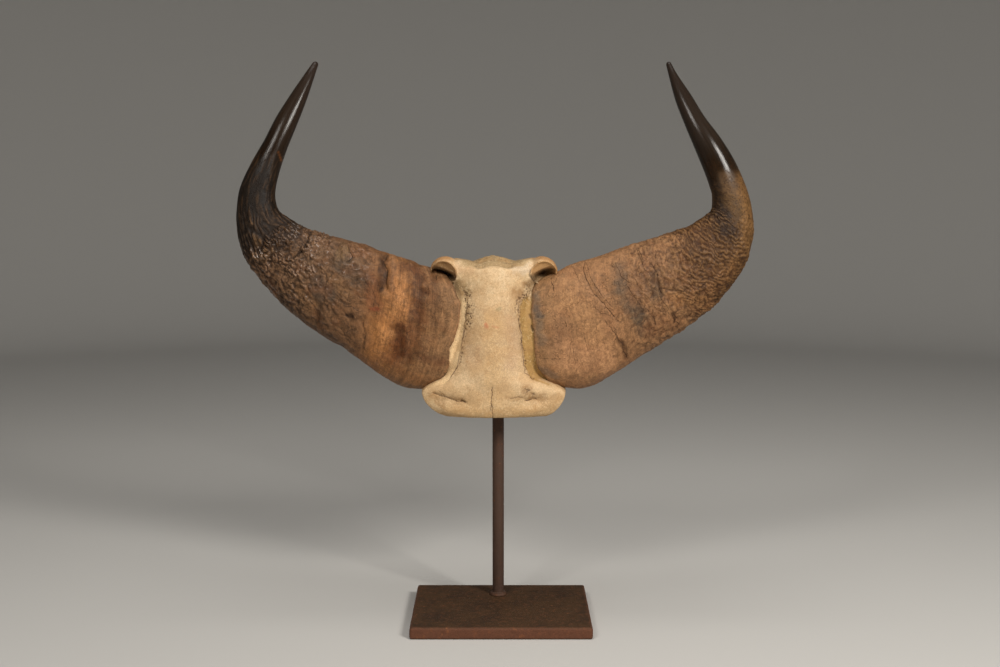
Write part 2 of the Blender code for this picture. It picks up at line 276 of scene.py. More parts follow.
def all_near(drawn: Lines, spots: Spots) -> Array:
    """The strongest of several strokes at each place, or 0 where there are none."""
    return np.max([np.zeros(np.shape(spots[0])), *(stroke.near(spots) for stroke in drawn)], axis=0)


def line_marks(drawn: Lines, spots: Spots, front: Array) -> Marks:
    """The masks that a material draws its thin cracks from.

    Args:
        drawn: The cracks.
        spots: Places across and up, in millimetres.
        front: How far each place faces the viewer.

    Returns:
        The signed distance from the nearest crack and its strength, which fades to 0 a little way off.
    """
    best = np.full(np.shape(front), FAR)
    power = np.zeros(np.shape(front))
    for stroke in drawn:
        offset = stroke.offset(spots)
        closer = np.abs(offset) < np.abs(best)
        best = np.where(closer, offset, best)
        power = np.where(closer, stroke.strength, power)
    faded = power * (1 - smoothstep(*LINE_FADE, np.abs(best)))
    return {"line": 0.5 + best / LINE_REACH, "line_power": faded * front}


def blend(under: Array, share: Array, over: Colour) -> Array:
    """Colours with another laid over them, by its share at each place."""
    return under + np.clip(share, 0, 1)[..., None] * (np.array(seen(over)) - under)


def stops_at(stops: Stops, places: Array) -> Array:
    """Colours at places along a line, between stops in rising order."""
    levels, colours = zip(*stops)
    return np.stack([np.interp(places, levels, part) for part in zip(*map(seen, colours))], axis=-1)


class Field:
    """One number over a surface: a socket to which Python's operators add Math nodes."""

    def __init__(self, graph: "Graph", socket: Socket) -> None:
        """Wrap an output that carries one number."""
        self.graph = graph
        self.socket = socket

    def _math(self, operation: str, first: "Number", second: "Number") -> "Field":
        """Add one Math node."""
        node = self.graph.add("ShaderNodeMath", {0: first, 1: second}, operation=operation)
        return Field(self.graph, node.outputs[0])

    def __add__(self, other: "Number") -> "Field":
        """Sum."""
        return self._math("ADD", self, other)

    def __sub__(self, other: "Number") -> "Field":
        """Difference."""
        return self._math("SUBTRACT", self, other)

    def __rsub__(self, other: "Number") -> "Field":
        """Difference, reflected."""
        return self._math("SUBTRACT", other, self)

    def __mul__(self, other: "Number") -> "Field":
        """Product."""
        return self._math("MULTIPLY", self, other)

    __radd__ = __add__
    __rmul__ = __mul__

    def size(self) -> "Field":
        """The number without its sign."""
        return self._math("ABSOLUTE", self, 0.0)

    def ramp(self, low: float, high: float) -> "Field":
        """A soft step from 0 at low to 1 at high, or down where high is below low."""
        if high < low:
            return 1 - self.ramp(high, low)
        values = {"Value": self, "From Min": low, "From Max": high}
        node = self.graph.add("ShaderNodeMapRange", values, interpolation_type="SMOOTHSTEP")
        return Field(self.graph, node.outputs["Result"])

    def swing(self, amount: float) -> "Field":
        """A factor about 1 that follows noise: 1 - amount where it is low and 1 + amount where it is high."""
        return (1 - amount) + self.ramp(0.36, 0.64) * (2 * amount)


Number = Union[Field, float]
Feed = Union[Field, Socket, float, Sequence[float]]


class Graph:
    """A new material's node tree, with one method that adds any node."""

    def __init__(self, name: str, roughness: float, specular: float, metallic: float = 0.0) -> None:
        """Start the material with what nothing varies.

        Args:
            name: The material's name.
            roughness: Roughness.
            specular: Strength of the plain reflection.
            metallic: Share of metal.
        """
        self.material = bpy.data.materials.new(name)
        self.material.use_nodes = True
        self.tree = self.material.node_tree
        self.inputs = self.tree.nodes["Principled BSDF"].inputs
        self.put("Roughness", roughness)
        self.put("Specular IOR Level", specular)
        self.put("Metallic", metallic)
        self.place = self.add("ShaderNodeTexCoord").outputs["Object"]

    def add(self, kind: str, feeds: Optional[Mapping[object, Feed]] = None, **settings: object) -> bpy.types.Node:
        """Add a node.

        Args:
            kind: Blender's type name.
            feeds: Values or links for its sockets, by name or number.
            **settings: Its options, which are set first.

        Returns:
            The node.
        """
        node = self.tree.nodes.new(kind)
        for key, value in settings.items():
            setattr(node, key, value)
        for key, value in (feeds or {}).items():
            self.feed(node.inputs[key], value)
        return node

    def feed(self, socket: Socket, value: Feed) -> None:
        """Link a socket to a field or an output, or set its value."""
        source = value.socket if isinstance(value, Field) else value
        if isinstance(source, Socket):
            self.tree.links.new(source, socket)
        else:
            socket.default_value = source

    def put(self, name: str, value: Feed) -> None:
        """Feed one of the shader's own sockets."""
        self.feed(self.inputs[name], value)

    def attribute(self, name: str) -> Field:
        """A number that the mesh carries at its points."""
        return Field(self, self.add("ShaderNodeAttribute", attribute_name=name).outputs["Fac"])

    def drawn(self, width: float, waver: float = 2.6) -> Field:
        """The drawn lines that the mesh carries, thinned, wavering and broken.

        Args:
            width: Half the lines' width in millimetres.
            waver: How far they stray in millimetres.

        Returns:
            1 on a line, 0 off it.
        """
        stray = self.noise(0.0024, 3.0, 0.6) - 0.5
        gap = ((self.attribute("line") - 0.5) * LINE_REACH + stray * waver).size()
        broken = self.noise(0.0065, 3.0).ramp(0.38, 0.52)
        return gap.ramp(width, 0.35 * width) * self.attribute("line_power") * (0.25 + 0.75 * broken)

    def stretched(self, scale: Row, source: Optional[Socket] = None) -> Socket:
        """Places scaled on each axis, from the piece's own place or another vector."""
        return self.add("ShaderNodeMapping", {"Vector": source or self.place, "Scale": scale}).outputs["Vector"]

    def unrolled(self, scale: Row) -> Socket:
        """The piece's own unrolled map, scaled round and along."""
        return self.stretched(scale, self.add("ShaderNodeTexCoord").outputs["UV"])

    def noise(self, size: float, detail: float, roughness: float = 0.55, place: Optional[Socket] = None) -> Field:
        """Cloudy noise, about 0.3 to 0.7, with lumps of a size in metres or in units of the place."""
        feeds = {"Vector": place or self.place, "Scale": 1 / size, "Detail": detail, "Roughness": roughness}
        return Field(self, self.add("ShaderNodeTexNoise", feeds).outputs[0])

    def cells(self, size: float) -> Field:
        """Distance to the nearest of scattered seeds, from 0 at a seed."""
        feeds = {"Vector": self.place, "Scale": 1 / size}
        return Field(self, self.add("ShaderNodeTexVoronoi", feeds).outputs["Distance"])

    def mix(self, share: Number, under: Feed, over: Feed) -> Socket:
        """Lay one colour over another.

        Args:
            share: How much of the upper colour shows.
            under: Lower colour.
            over: Upper colour.

        Returns:
            The mixed colour.
        """
        node = self.add("ShaderNodeMix", data_type="RGBA")
        sockets = {socket.identifier: socket for socket in (*node.inputs, *node.outputs)}
        for name, value in (("Factor_Float", share), ("A_Color", under), ("B_Color", over)):
            self.feed(sockets[name], (*seen(value), 1.0) if isinstance(value, tuple) else value)
        return sockets["Result_Color"]

    def toned(self, amount: Number) -> Socket:
        """The colour that the mesh carries at its points, darker or lighter by a factor."""
        tone = self.add("ShaderNodeAttribute", attribute_name="tone").outputs["Color"]
        return self.add("ShaderNodeVectorMath", {0: tone, "Scale": amount}, operation="SCALE").outputs["Vector"]

    def bump(self, height: Field, distance: float, strength: float) -> None:
        """Feed fine relief to the shader's normal, with its depth in metres and how much of it shows."""
        feeds = {"Height": height, "Distance": distance, "Strength": strength}
        self.put("Normal", self.add("ShaderNodeBump", feeds).outputs["Normal"])

    def finish(self, colour: Feed, roughness: Optional[Number] = None) -> bpy.types.Material:
        """Feed the shader's colour and roughness.

        Args:
            colour: The finished colour.
            roughness: Roughness over the surface, or none where nothing varies it.

        Returns:
            The material.
        """
        self.put("Base Color", colour)
        if roughness is not None:
            self.put("Roughness", roughness)
        return self.material


def select(*pieces: Piece) -> None:
    """Leave edit mode and select these pieces alone, with the first one active."""
    if bpy.context.object and bpy.context.object.mode != "OBJECT":
        bpy.ops.object.mode_set(mode="OBJECT")
    bpy.ops.object.select_all(action="DESELECT")
    for piece in reversed(pieces):
        piece.select_set(True)
        bpy.context.view_layer.objects.active = piece


def apply_modifier(piece: Piece, kind: str, **settings: object) -> None:
    """Add a modifier with its options and apply it."""
    select(piece)
    step = piece.modifiers.new(kind.lower(), kind)
    for key, value in settings.items():
        setattr(step, key, value)
    bpy.ops.object.modifier_apply(modifier=step.name)


def vectors(items: bpy.types.bpy_prop_collection, key: str) -> Array:
    """A vector of each of a mesh's items, such as the points' places."""
    flat = np.empty(len(items) * 3, np.float32)
    items.foreach_get(key, flat)
    return flat.reshape(-1, 3).astype(float)


def move_points(piece: Piece, points: Array) -> None:
    """Put the mesh's points at new places, in metres."""
    piece.data.vertices.foreach_set("co", points.astype(np.float32).reshape(-1))
    piece.data.update()


def paint(piece: Piece, tone: Optional[Array], marks: Marks) -> None:
    """Keep colours and numbers at the mesh's points for its material, all held within 0 to 1.

    Args:
        piece: The piece.
        tone: One colour for each point, or none.
        marks: One number for each point, by name.
    """
    if tone is not None:
        flat = np.clip(tone, 0, 1).reshape(-1, 3)
        rgba = np.concatenate([flat, np.ones((len(flat), 1))], axis=-1).astype(np.float32)
        piece.data.attributes.new("tone", "FLOAT_COLOR", "POINT").data.foreach_set("color", rgba.reshape(-1))
    for name, values in marks.items():
        kept = np.clip(values, 0, 1).astype(np.float32).reshape(-1)
        piece.data.attributes.new(name, "FLOAT", "POINT").data.foreach_set("value", kept)


def dress(piece: Piece, surface: bpy.types.Material) -> None:
    """Give a piece its only material and smooth shading."""
    select(piece)
    bpy.ops.object.shade_smooth()
    piece.data.materials.clear()
    piece.data.materials.append(surface)


def place_piece(piece: Piece, surface: bpy.types.Material, node: str, slot: str) -> None:
    """Dress a piece, and let it ride on the object's body and stand for a solid.

    Args:
        piece: The finished piece.
        surface: Its material.
        node: The solid that it stands for.
        slot: The record's material slot; not used.
    """
    dress(piece, surface)
    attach(piece, "root")
    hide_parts(node)
    log.info("%s: %d faces", piece.name, len(piece.data.polygons))


def merge_doubles(piece: Piece, reach: float, closed: bool) -> None:
    """Merge a mesh's doubled points.

    Args:
        piece: The piece.
        reach: How far apart two points may be.
        closed: Whether its faces are then turned outwards.
    """
    select(piece)
    bpy.ops.object.mode_set(mode="EDIT")
    bpy.ops.mesh.select_all(action="SELECT")
    bpy.ops.mesh.remove_doubles(threshold=reach)
    if closed:
        bpy.ops.mesh.normals_make_consistent(inside=False)
    bpy.ops.object.mode_set(mode="OBJECT")


def wrapped_grid(name: str, points: Array) -> Piece:
    """Add a grid and lay its points on a closed form.

    Args:
        name: The piece's name.
        points: Rows and columns of points in metres, the last column on the first.

    Returns:
        The piece, still open at its seam.
    """
    rows, columns = points.shape[:2]
    select()
    bpy.ops.mesh.primitive_grid_add(x_subdivisions=columns - 1, y_subdivisions=rows - 1, size=1, calc_uvs=True)
    piece = bpy.context.object
    piece.name = piece.data.name = name
    move_points(piece, points)
    return piece


def unroll(piece: Piece, share: Array, length: Array) -> None:
    """Lay a wrapped grid's map out: across by its share of a turn, and up by its length in metres."""
    corners = np.empty(len(piece.data.loops), np.int32)
    piece.data.loops.foreach_get("vertex_index", corners)
    flat = np.stack([share, length], axis=-1).reshape(-1, 2)[corners].astype(np.float32)
    piece.data.uv_layers.active.data.foreach_set("uv", flat.reshape(-1))


def surface_normals(points: Array) -> Array:
    """Outward normals of a grid that is wrapped round, from its own differences."""
    ring = points[:, :-1]
    round_step = np.roll(ring, -1, axis=1) - np.roll(ring, 1, axis=1)
    round_step = np.concatenate([round_step, round_step[:, :1]], axis=1)
    normal = np.cross(round_step, np.gradient(points, axis=0))
    normal /= np.maximum(np.linalg.norm(normal, axis=-1, keepdims=True), TINY)
    outward = np.sign(((points - points.mean(1, keepdims=True)) * normal).sum(-1).mean())
    return normal * outward


def softened(values: Array, reach: int) -> Array:
    """A grid's values averaged over a square of neighbours, round the seam too."""
    ring = sum(np.roll(values[:, :-1], step, axis=1) for step in range(-reach, reach + 1))
    rows = np.pad(ring, ((reach, reach), (0, 0)), mode="edge")
    ring = sum(rows[step : step + len(ring)] for step in range(2 * reach + 1)) / (2 * reach + 1) ** 2
    return np.concatenate([ring, ring[:, :1]], axis=1)


@dataclass(frozen=True)
class Rail:
    """One cross-section of a horn as measured from the front, in millimetres and degrees."""

    centre_y: float
    inner: Row
    outer: Row
    depth: float
    turn: float


@dataclass(frozen=True)
class HornFinish:
    """Weathered horn: brown and dull at the root, black and polished at the tip."""

    name: str
    warm: Colour
    dark: Colour
    # Colour of the painted shade in creases, crevices and valleys, which the drawn cracks and veins also take.
    crack_and_crease_shade: Colour
    light: Colour
    # Share of painted shade laid into the relief's valleys.
    valley_shade_share: float
    # Share of the paler colour on the relief's tops: partly worn horn, partly a painted highlight.
    peak_light_share: float
    peak_gloss: float
    peak_coat: float
    dull: float
    polish: float
    bump_depth: float = 0.0006
    coat_roughness: float = 0.24

    def build(self) -> bpy.types.Material:
        """Make the material, which reads the colour and the masks that the horn carries.

        Returns:
            The material.
        """
        graph = Graph(self.name, self.dull, specular=0.20)
        rings = graph.noise(1.0, 4.0, 0.62, graph.unrolled((7.0, 420.0, 1.0)))
        fibres = graph.noise(1.0, 4.0, 0.6, graph.unrolled((75.0, 14.0, 1.0)))
        cloud = graph.noise(0.020, 2.0)
        mottle = graph.noise(0.0062, 3.0, 0.68)
        grit = graph.noise(0.0019, 2.0, 0.7)
        strand = graph.noise(0.024, 4.0, 0.62) - 0.5
        polish, growth, creased, peak = (graph.attribute(name) for name in ("polish", "growth", "creased", "peak"))
        matte = 1 - polish
        shade = mottle.swing(0.11) * grit.swing(0.14) * (1 + growth * (rings - 0.5) * 1.5)
        shade = (1 + (shade - 1) * matte) * (1 + polish * (fibres - 0.5) * 1.8)
        specks = graph.noise(0.0026, 2.0, 0.5).ramp(0.55, 0.66) * graph.attribute("specks")
        # Painted shade: where the mottle, and with it the bump, sinks in creased zones, the colour darkens.
        crevice_shade = mottle.ramp(0.47, 0.38) * creased
        vein = (strand * strand).ramp(0.00050, 0.00004) * mottle.ramp(0.44, 0.56) * matte
        line = graph.drawn(0.52)
        colour = graph.toned(shade)
        colour = graph.mix(cloud.ramp(0.47, 0.66) * graph.attribute("warmth") * 0.25, colour, self.warm)
        colour = graph.mix(specks * 0.75, colour, self.dark)
        # Painted crevice shade, then veins and cracks, all in the crease-shade colour.
        for share in (crevice_shade * 0.55, vein * 0.32, line * 0.9):
            colour = graph.mix(share, colour, self.crack_and_crease_shade)
        fine = rings * growth * 0.7 + (grit * 0.8 + mottle * (0.5 + creased * 1.3)) * matte + fibres * 0.25 * polish
        graph.bump(fine - line * 1.5 - vein * 0.8, self.bump_depth, 0.8)
        graph.put("Coat Weight", peak * cloud.ramp(0.44, 0.58) * self.peak_coat)
        graph.put("Coat Roughness", self.coat_roughness)
        dullness = self.dull + 0.22 * (mottle - 0.5) - peak * self.peak_gloss
        gloss = self.polish + 0.08 * (fibres - 0.5)
        return graph.finish(colour, dullness + (gloss - dullness) * polish)


@dataclass(frozen=True)
class HornPlaces:
    """Where a horn's grid points are: along and round it, straightened out, and in space."""

    station: Array
    flat: Array
    down: Array
    spots: Spots
    front: Array
    upper: Array
    share: Array
    length: Array


@dataclass
class Horn:
    """A horn sheath: a grid that is wrapped round measured cross-sections, from a ragged root to the tip."""

    name: str
    node: str
    side: Side
    seed: int
    finish: HornFinish
    rails: tuple[Rail, ...]
    root_edge: tuple[Row, ...]
    ground: Stops
    washes: Washes
    furrows: Lines
    cracks: Lines
    swells: Lines
    hollows: Lines
    split_brown: Colour
    split_share: float
    drift: float
    wide_drift: float
    wide_lump: float
    mottle_lump: float
    rows: int = 412
    columns: int = 221
    front_crowd: float = 0.35
    tip_share: float = 0.36
    tip_start: float = 10.0
    tip_rows: int = 7
    tip_stretch: float = 1.3
    tip_reach: float = 6.0
    root_power: float = 2.5
    tip_power: float = 2.0
    power_end: float = 10.0
    back_reach: float = 3.0
    fade_end: float = 1.2
    shrink_tall: float = 0.0038
    shrink_deep: float = 0.0045
    line_samples: int = 2000
    ring_samples: int = 361
    fine_reach: int = 4
    valley_depth: float = 0.40
    peak_height: float = 0.36
    light_height: float = 0.45
    drift_lump: float = 8.0
    core_columns: int = 97
    core_share: float = 0.93
    core_reach: float = 0.8
    core_overlap: float = 6.0
    core_taper: Row = (0.96, 0.90)
    rim: tuple[Row, ...] = ((5.0, -1.0), (2.6, 0.7), (1.5, 0.9), (0.7, 0.65), (0.2, 0.25))

    def sections(self, station: Array) -> tuple[Array, Array, Array]:
        """Cross-sections in millimetres.

        Args:
            station: Places along the horn, counted in rails.

        Returns:
            Centres, half heights and half depths as vectors.
        """
        rows = [(*rail.inner, *rail.outer, rail.centre_y, rail.depth, rail.turn) for rail in self.rails]
        ix, iz, ox, oz, cy, depth, turn = np.moveaxis(spline(np.array(rows, float), station), -1, 0)
        lean = np.radians(turn)
        level = np.zeros_like(ix)
        centre = np.stack([(ix + ox) / 2, cy, (iz + oz) / 2], axis=-1)
        tall = np.stack([(ix - ox) / 2, level, (iz - oz) / 2], axis=-1)
        deep = np.stack([-np.sin(lean), np.cos(lean), level], axis=-1) * depth[..., None] / 2
        return centre, tall, deep

    def edge_reach(self, share: Array, grain: Grain) -> Array:
        """How far the sheath's edge lies beyond its root section, over the bone.

        Args:
            share: Places round it, as shares of a turn.
            grain: Noise that makes the edge ragged.

        Returns:
            Reach in millimetres, negative where the edge falls short.
        """
        centre, tall, _ = (part[0] for part in self.sections(np.zeros(1)))
        turn = TURN * share
        height = centre[2] + tall[2] * np.cos(turn)
        front = smoothstep(0.1, 0.6, -np.sin(turn))
        ring = np.stack([np.cos(turn), np.sin(turn), np.zeros_like(turn)], axis=-1)
        ragged = 0.9 * grain.rough(ring * 4.5) + 0.55 * grain.smooth(ring * 16)
        return front * np.interp(height, *zip(*self.root_edge)) + (1 - front) * self.back_reach + ragged

    def stations(self) -> tuple[Array, Array, float]:
        """Where the grid's rows lie: close together up to the bend and further apart along the smooth tip.

        Returns:
            Their places in rails, their lengths along the horn, and the first span's length.
        """
        fine = np.linspace(0, len(self.rails) - 1, self.line_samples)
        step = np.linalg.norm(np.diff(self.sections(fine)[0], axis=0), axis=-1)
        weight = 1 - (1 - self.tip_share) * smoothstep(self.tip_start, self.tip_start + 1, fine[1:])
        travel, effort = (np.concatenate([[0], np.cumsum(part)]) for part in (step, step * weight))
        station = np.interp(np.linspace(0, effort[-1], self.rows), effort, fine)
        return station, np.interp(station, fine, travel), float(np.interp(1.0, fine, travel))

    def wrap(self, grain: Grain) -> tuple[Array, HornPlaces]:
        """Lay the grid's points round the horn, closer together on its front.

        Args:
            grain: Noise for the ragged root.

        Returns:
            Points in millimetres and what is known of their places.
        """
        station, length, pitch = self.stations()
        even = np.linspace(0.25, 1.25, self.columns)
        share = even + self.front_crowd * np.sin(TURN * (even - even[0])) / TURN
        share[-1] = share[0]
        fade = np.clip(1 - station / self.fade_end, 0, 1)[:, None] ** 2
        place = station[:, None] - self.edge_reach(share, grain)[None, :] / pitch * fade
        inside = np.maximum(0, -place) * pitch
        place = np.maximum(place, 0)
        centre, tall, deep = self.sections(place)
        centre[..., 0] -= self.side.value * inside
        tall *= (1 - self.shrink_tall * inside)[..., None]
        deep *= (1 - self.shrink_deep * inside)[..., None]
        up, back = self.even_steps(tall, deep, place, share)
        points = np.concatenate([centre + tall * up[..., None] + deep * back[..., None], self.crown(share)])
        wide = np.ones_like(share)
        length = np.append(length, length[-1] + np.linspace(0, self.tip_reach, self.tip_rows + 1)[1:])[:, None] * wide
        station = np.append(station, np.full(self.tip_rows, len(self.rails) - 1.0))[:, None] * wide
        width = (np.linalg.norm(tall, axis=-1) + np.linalg.norm(deep, axis=-1)) / 2
        width = np.concatenate([width, np.repeat(width[-1:], self.tip_rows, axis=0)])
        turn = TURN * share * np.ones_like(length)
        return points, HornPlaces(
            station=station,
            flat=np.stack([length, width * np.cos(turn), width * np.sin(turn)], axis=-1),
            down=width * np.arccos(np.clip(np.cos(turn), -1, 1)),
            spots=(points[..., 0], points[..., 2]),
            front=smoothstep(-0.05, 0.45, -np.sin(turn)),
            upper=np.cos(turn),
            share=even * np.ones_like(length),
            length=length,
        )

    def even_steps(self, tall: Array, deep: Array, place: Array, share: Array) -> tuple[Array, Array]:
        """Even steps round each cross-section, between an oval and a rounded box.

        Args:
            tall: Half heights.
            deep: Half depths.
            place: Places along the horn, counted in rails.
            share: Places round it, as shares of a turn.

        Returns:
            Shares of the half height and of the half depth.
        """
        angle = np.linspace(0, TURN, self.ring_samples)
        up, back = np.empty_like(place), np.empty_like(place)
        for row, middle in enumerate(place.mean(axis=1)):
            power = self.root_power + (self.tip_power - self.root_power) * min(1.0, middle / self.power_end)
            across, along = ring_shares(angle, power)
            high, wide = (np.linalg.norm(axis[row].mean(0)) for axis in (tall, deep))
            step = np.hypot(np.diff(across) * high, np.diff(along) * wide)
            travel = np.concatenate([[0], np.cumsum(step)]) / step.sum()
            up[row] = np.interp(share % 1.0, travel, across)
            back[row] = np.interp(share % 1.0, travel, along)
        return up, back

    def crown(self, share: Array) -> Array:
        """Rings that round off the tip to its point, at shares of a turn."""
        last = len(self.rails) - 1.0
        (before, centre), (_, tall), (_, deep) = self.sections(np.array([last - 0.25, last]))
        onward = (centre - before) / np.linalg.norm(centre - before)
        lift = np.linspace(0, TURN / 4, self.tip_rows + 1)[1:, None, None]
        turn = TURN * share[None, :, None]
        ring = tall * np.cos(turn) + deep * np.sin(turn)
        return centre + ring * np.cos(lift) + onward * np.linalg.norm(tall) * self.tip_stretch * np.sin(lift)

    def relief(self, places: HornPlaces, grain: Grain) -> tuple[Array, Array, Marks]:
        """Relief in millimetres, colours and masks, which each horn has of its own."""
        raise NotImplementedError

    def hand_drawn(self, places: HornPlaces, grain: Grain, level: Array) -> tuple[Array, Array, Array, Marks]:
        """What is drawn on the sheath by strokes and washes.

        Args:
            places: Where the grid's points are.
            grain: Noise.
            level: Places along the horn, in rails, that its ground colour is read at.

        Returns:
            Relief in millimetres, colours, the noise that mottles them, and the masks of the cracks.
        """
        spots = grain.drift(places.spots, places.flat, self.drift, self.drift_lump, (5.0, 9.0))
        height = all_near(self.swells, spots) - all_near(self.hollows, spots)
        height -= all_near(self.furrows, spots) * places.front
        wide = grain.drift(places.spots, places.flat, self.wide_drift, self.wide_lump, (2.0, 4.0))
        mottle = grain.rough(places.flat / self.mottle_lump)
        tone = stops_at(self.ground, level)
        for wash in self.washes:
            tone = wash.over(tone, wide, mottle, 0.25 + 0.75 * places.front)
        return height, tone, mottle, line_marks(self.cracks, spots, places.front)

    def rim_rings(self, points: Array, facing: Array) -> Array:
        """Rings that turn the root's edge inwards and close it at a pole.

        Args:
            points: The outer grid.
            facing: Its outward normals.

        Returns:
            Rows of points that go before the grid's.
        """
        inward = points[0] - points[1]
        inward /= np.linalg.norm(inward, axis=-1, keepdims=True)
        rings = np.stack([points[0] - facing[0] * deep + inward * push for deep, push in self.rim])
        return np.concatenate([np.ones_like(rings[:1]) * rings[0].mean(0), rings])

    def build(self) -> None:
        """Wrap, shape and dress the sheath."""
        grain = Grain(self.seed)
        points, places = self.wrap(grain)
        facing = surface_normals(points)
        height, tone, marks = self.relief(places, grain)
        fine = height - softened(height, self.fine_reach)
        matte = 1 - marks["polish"]
        # Painted shade: how deep each point sits in a valley of the relief, in creased zones.
        valley_shade = np.clip(-fine / self.valley_depth, 0, 1) * marks["creased"] * (0.4 + 0.6 * matte)
        # Tops of the relief: partly worn paler horn, partly a painted highlight.
        worn_and_lit_peaks = np.clip(fine / self.light_height, 0, 1) * matte
        marks["peak"] = np.clip(fine / self.peak_height, 0, 1) * marks["knobbly"]
        # Painted shade darkens the relief's valleys.
        tone = blend(tone, self.finish.valley_shade_share * valley_shade, self.finish.crack_and_crease_shade)
        # The relief's tops made paler, as wear and as a painted highlight.
        tone = blend(tone, self.finish.peak_light_share * worn_and_lit_peaks, self.finish.light)
        points = points + facing * height[..., None]
        points[-1] = points[-1].mean(0)
        rim = self.rim_rings(points, facing)

        def padded(values: Array) -> Array:
            """The grid's values, with its first row repeated for the rim."""
            return np.concatenate([np.repeat(values[:1], len(rim), axis=0), values])

        piece = wrapped_grid(self.name, np.concatenate([rim, points]) * MM)
        unroll(piece, padded(places.share), padded(places.length) * MM)
        paint(piece, padded(tone), {name: padded(values) for name, values in marks.items()})
        merge_doubles(piece, MERGE, closed=True)
        place_piece(piece, self.finish.build(), self.node, self.node)

    def core(self) -> Piece:
        """The stub of the bony core inside the sheath, which a ragged edge may lay bare.

        Returns:
            A closed stub.
        """
        turn = np.linspace(0, TURN, self.core_columns)
        turn[-1] = 0.0
        up, back = (part[None, :, None] for part in ring_shares(turn, self.root_power))
        places = np.array([0.0, 0.0, self.core_reach / 2, self.core_reach])
        centre, tall, deep = (part[:, None] for part in self.sections(places))
        centre[0, :, 0] -= self.side.value * self.core_overlap
        tall[0] *= self.core_taper[0]
        deep[0] *= self.core_taper[1]
        rings = centre + self.core_share * (tall * up + deep * back)
        first, last = (np.repeat(end, len(turn), axis=1) for end in (centre[:1], centre[-1:]))
        piece = wrapped_grid("core_stub", np.concatenate([first, rings, last]) * MM)
        merge_doubles(piece, MERGE, closed=True)
        return piece


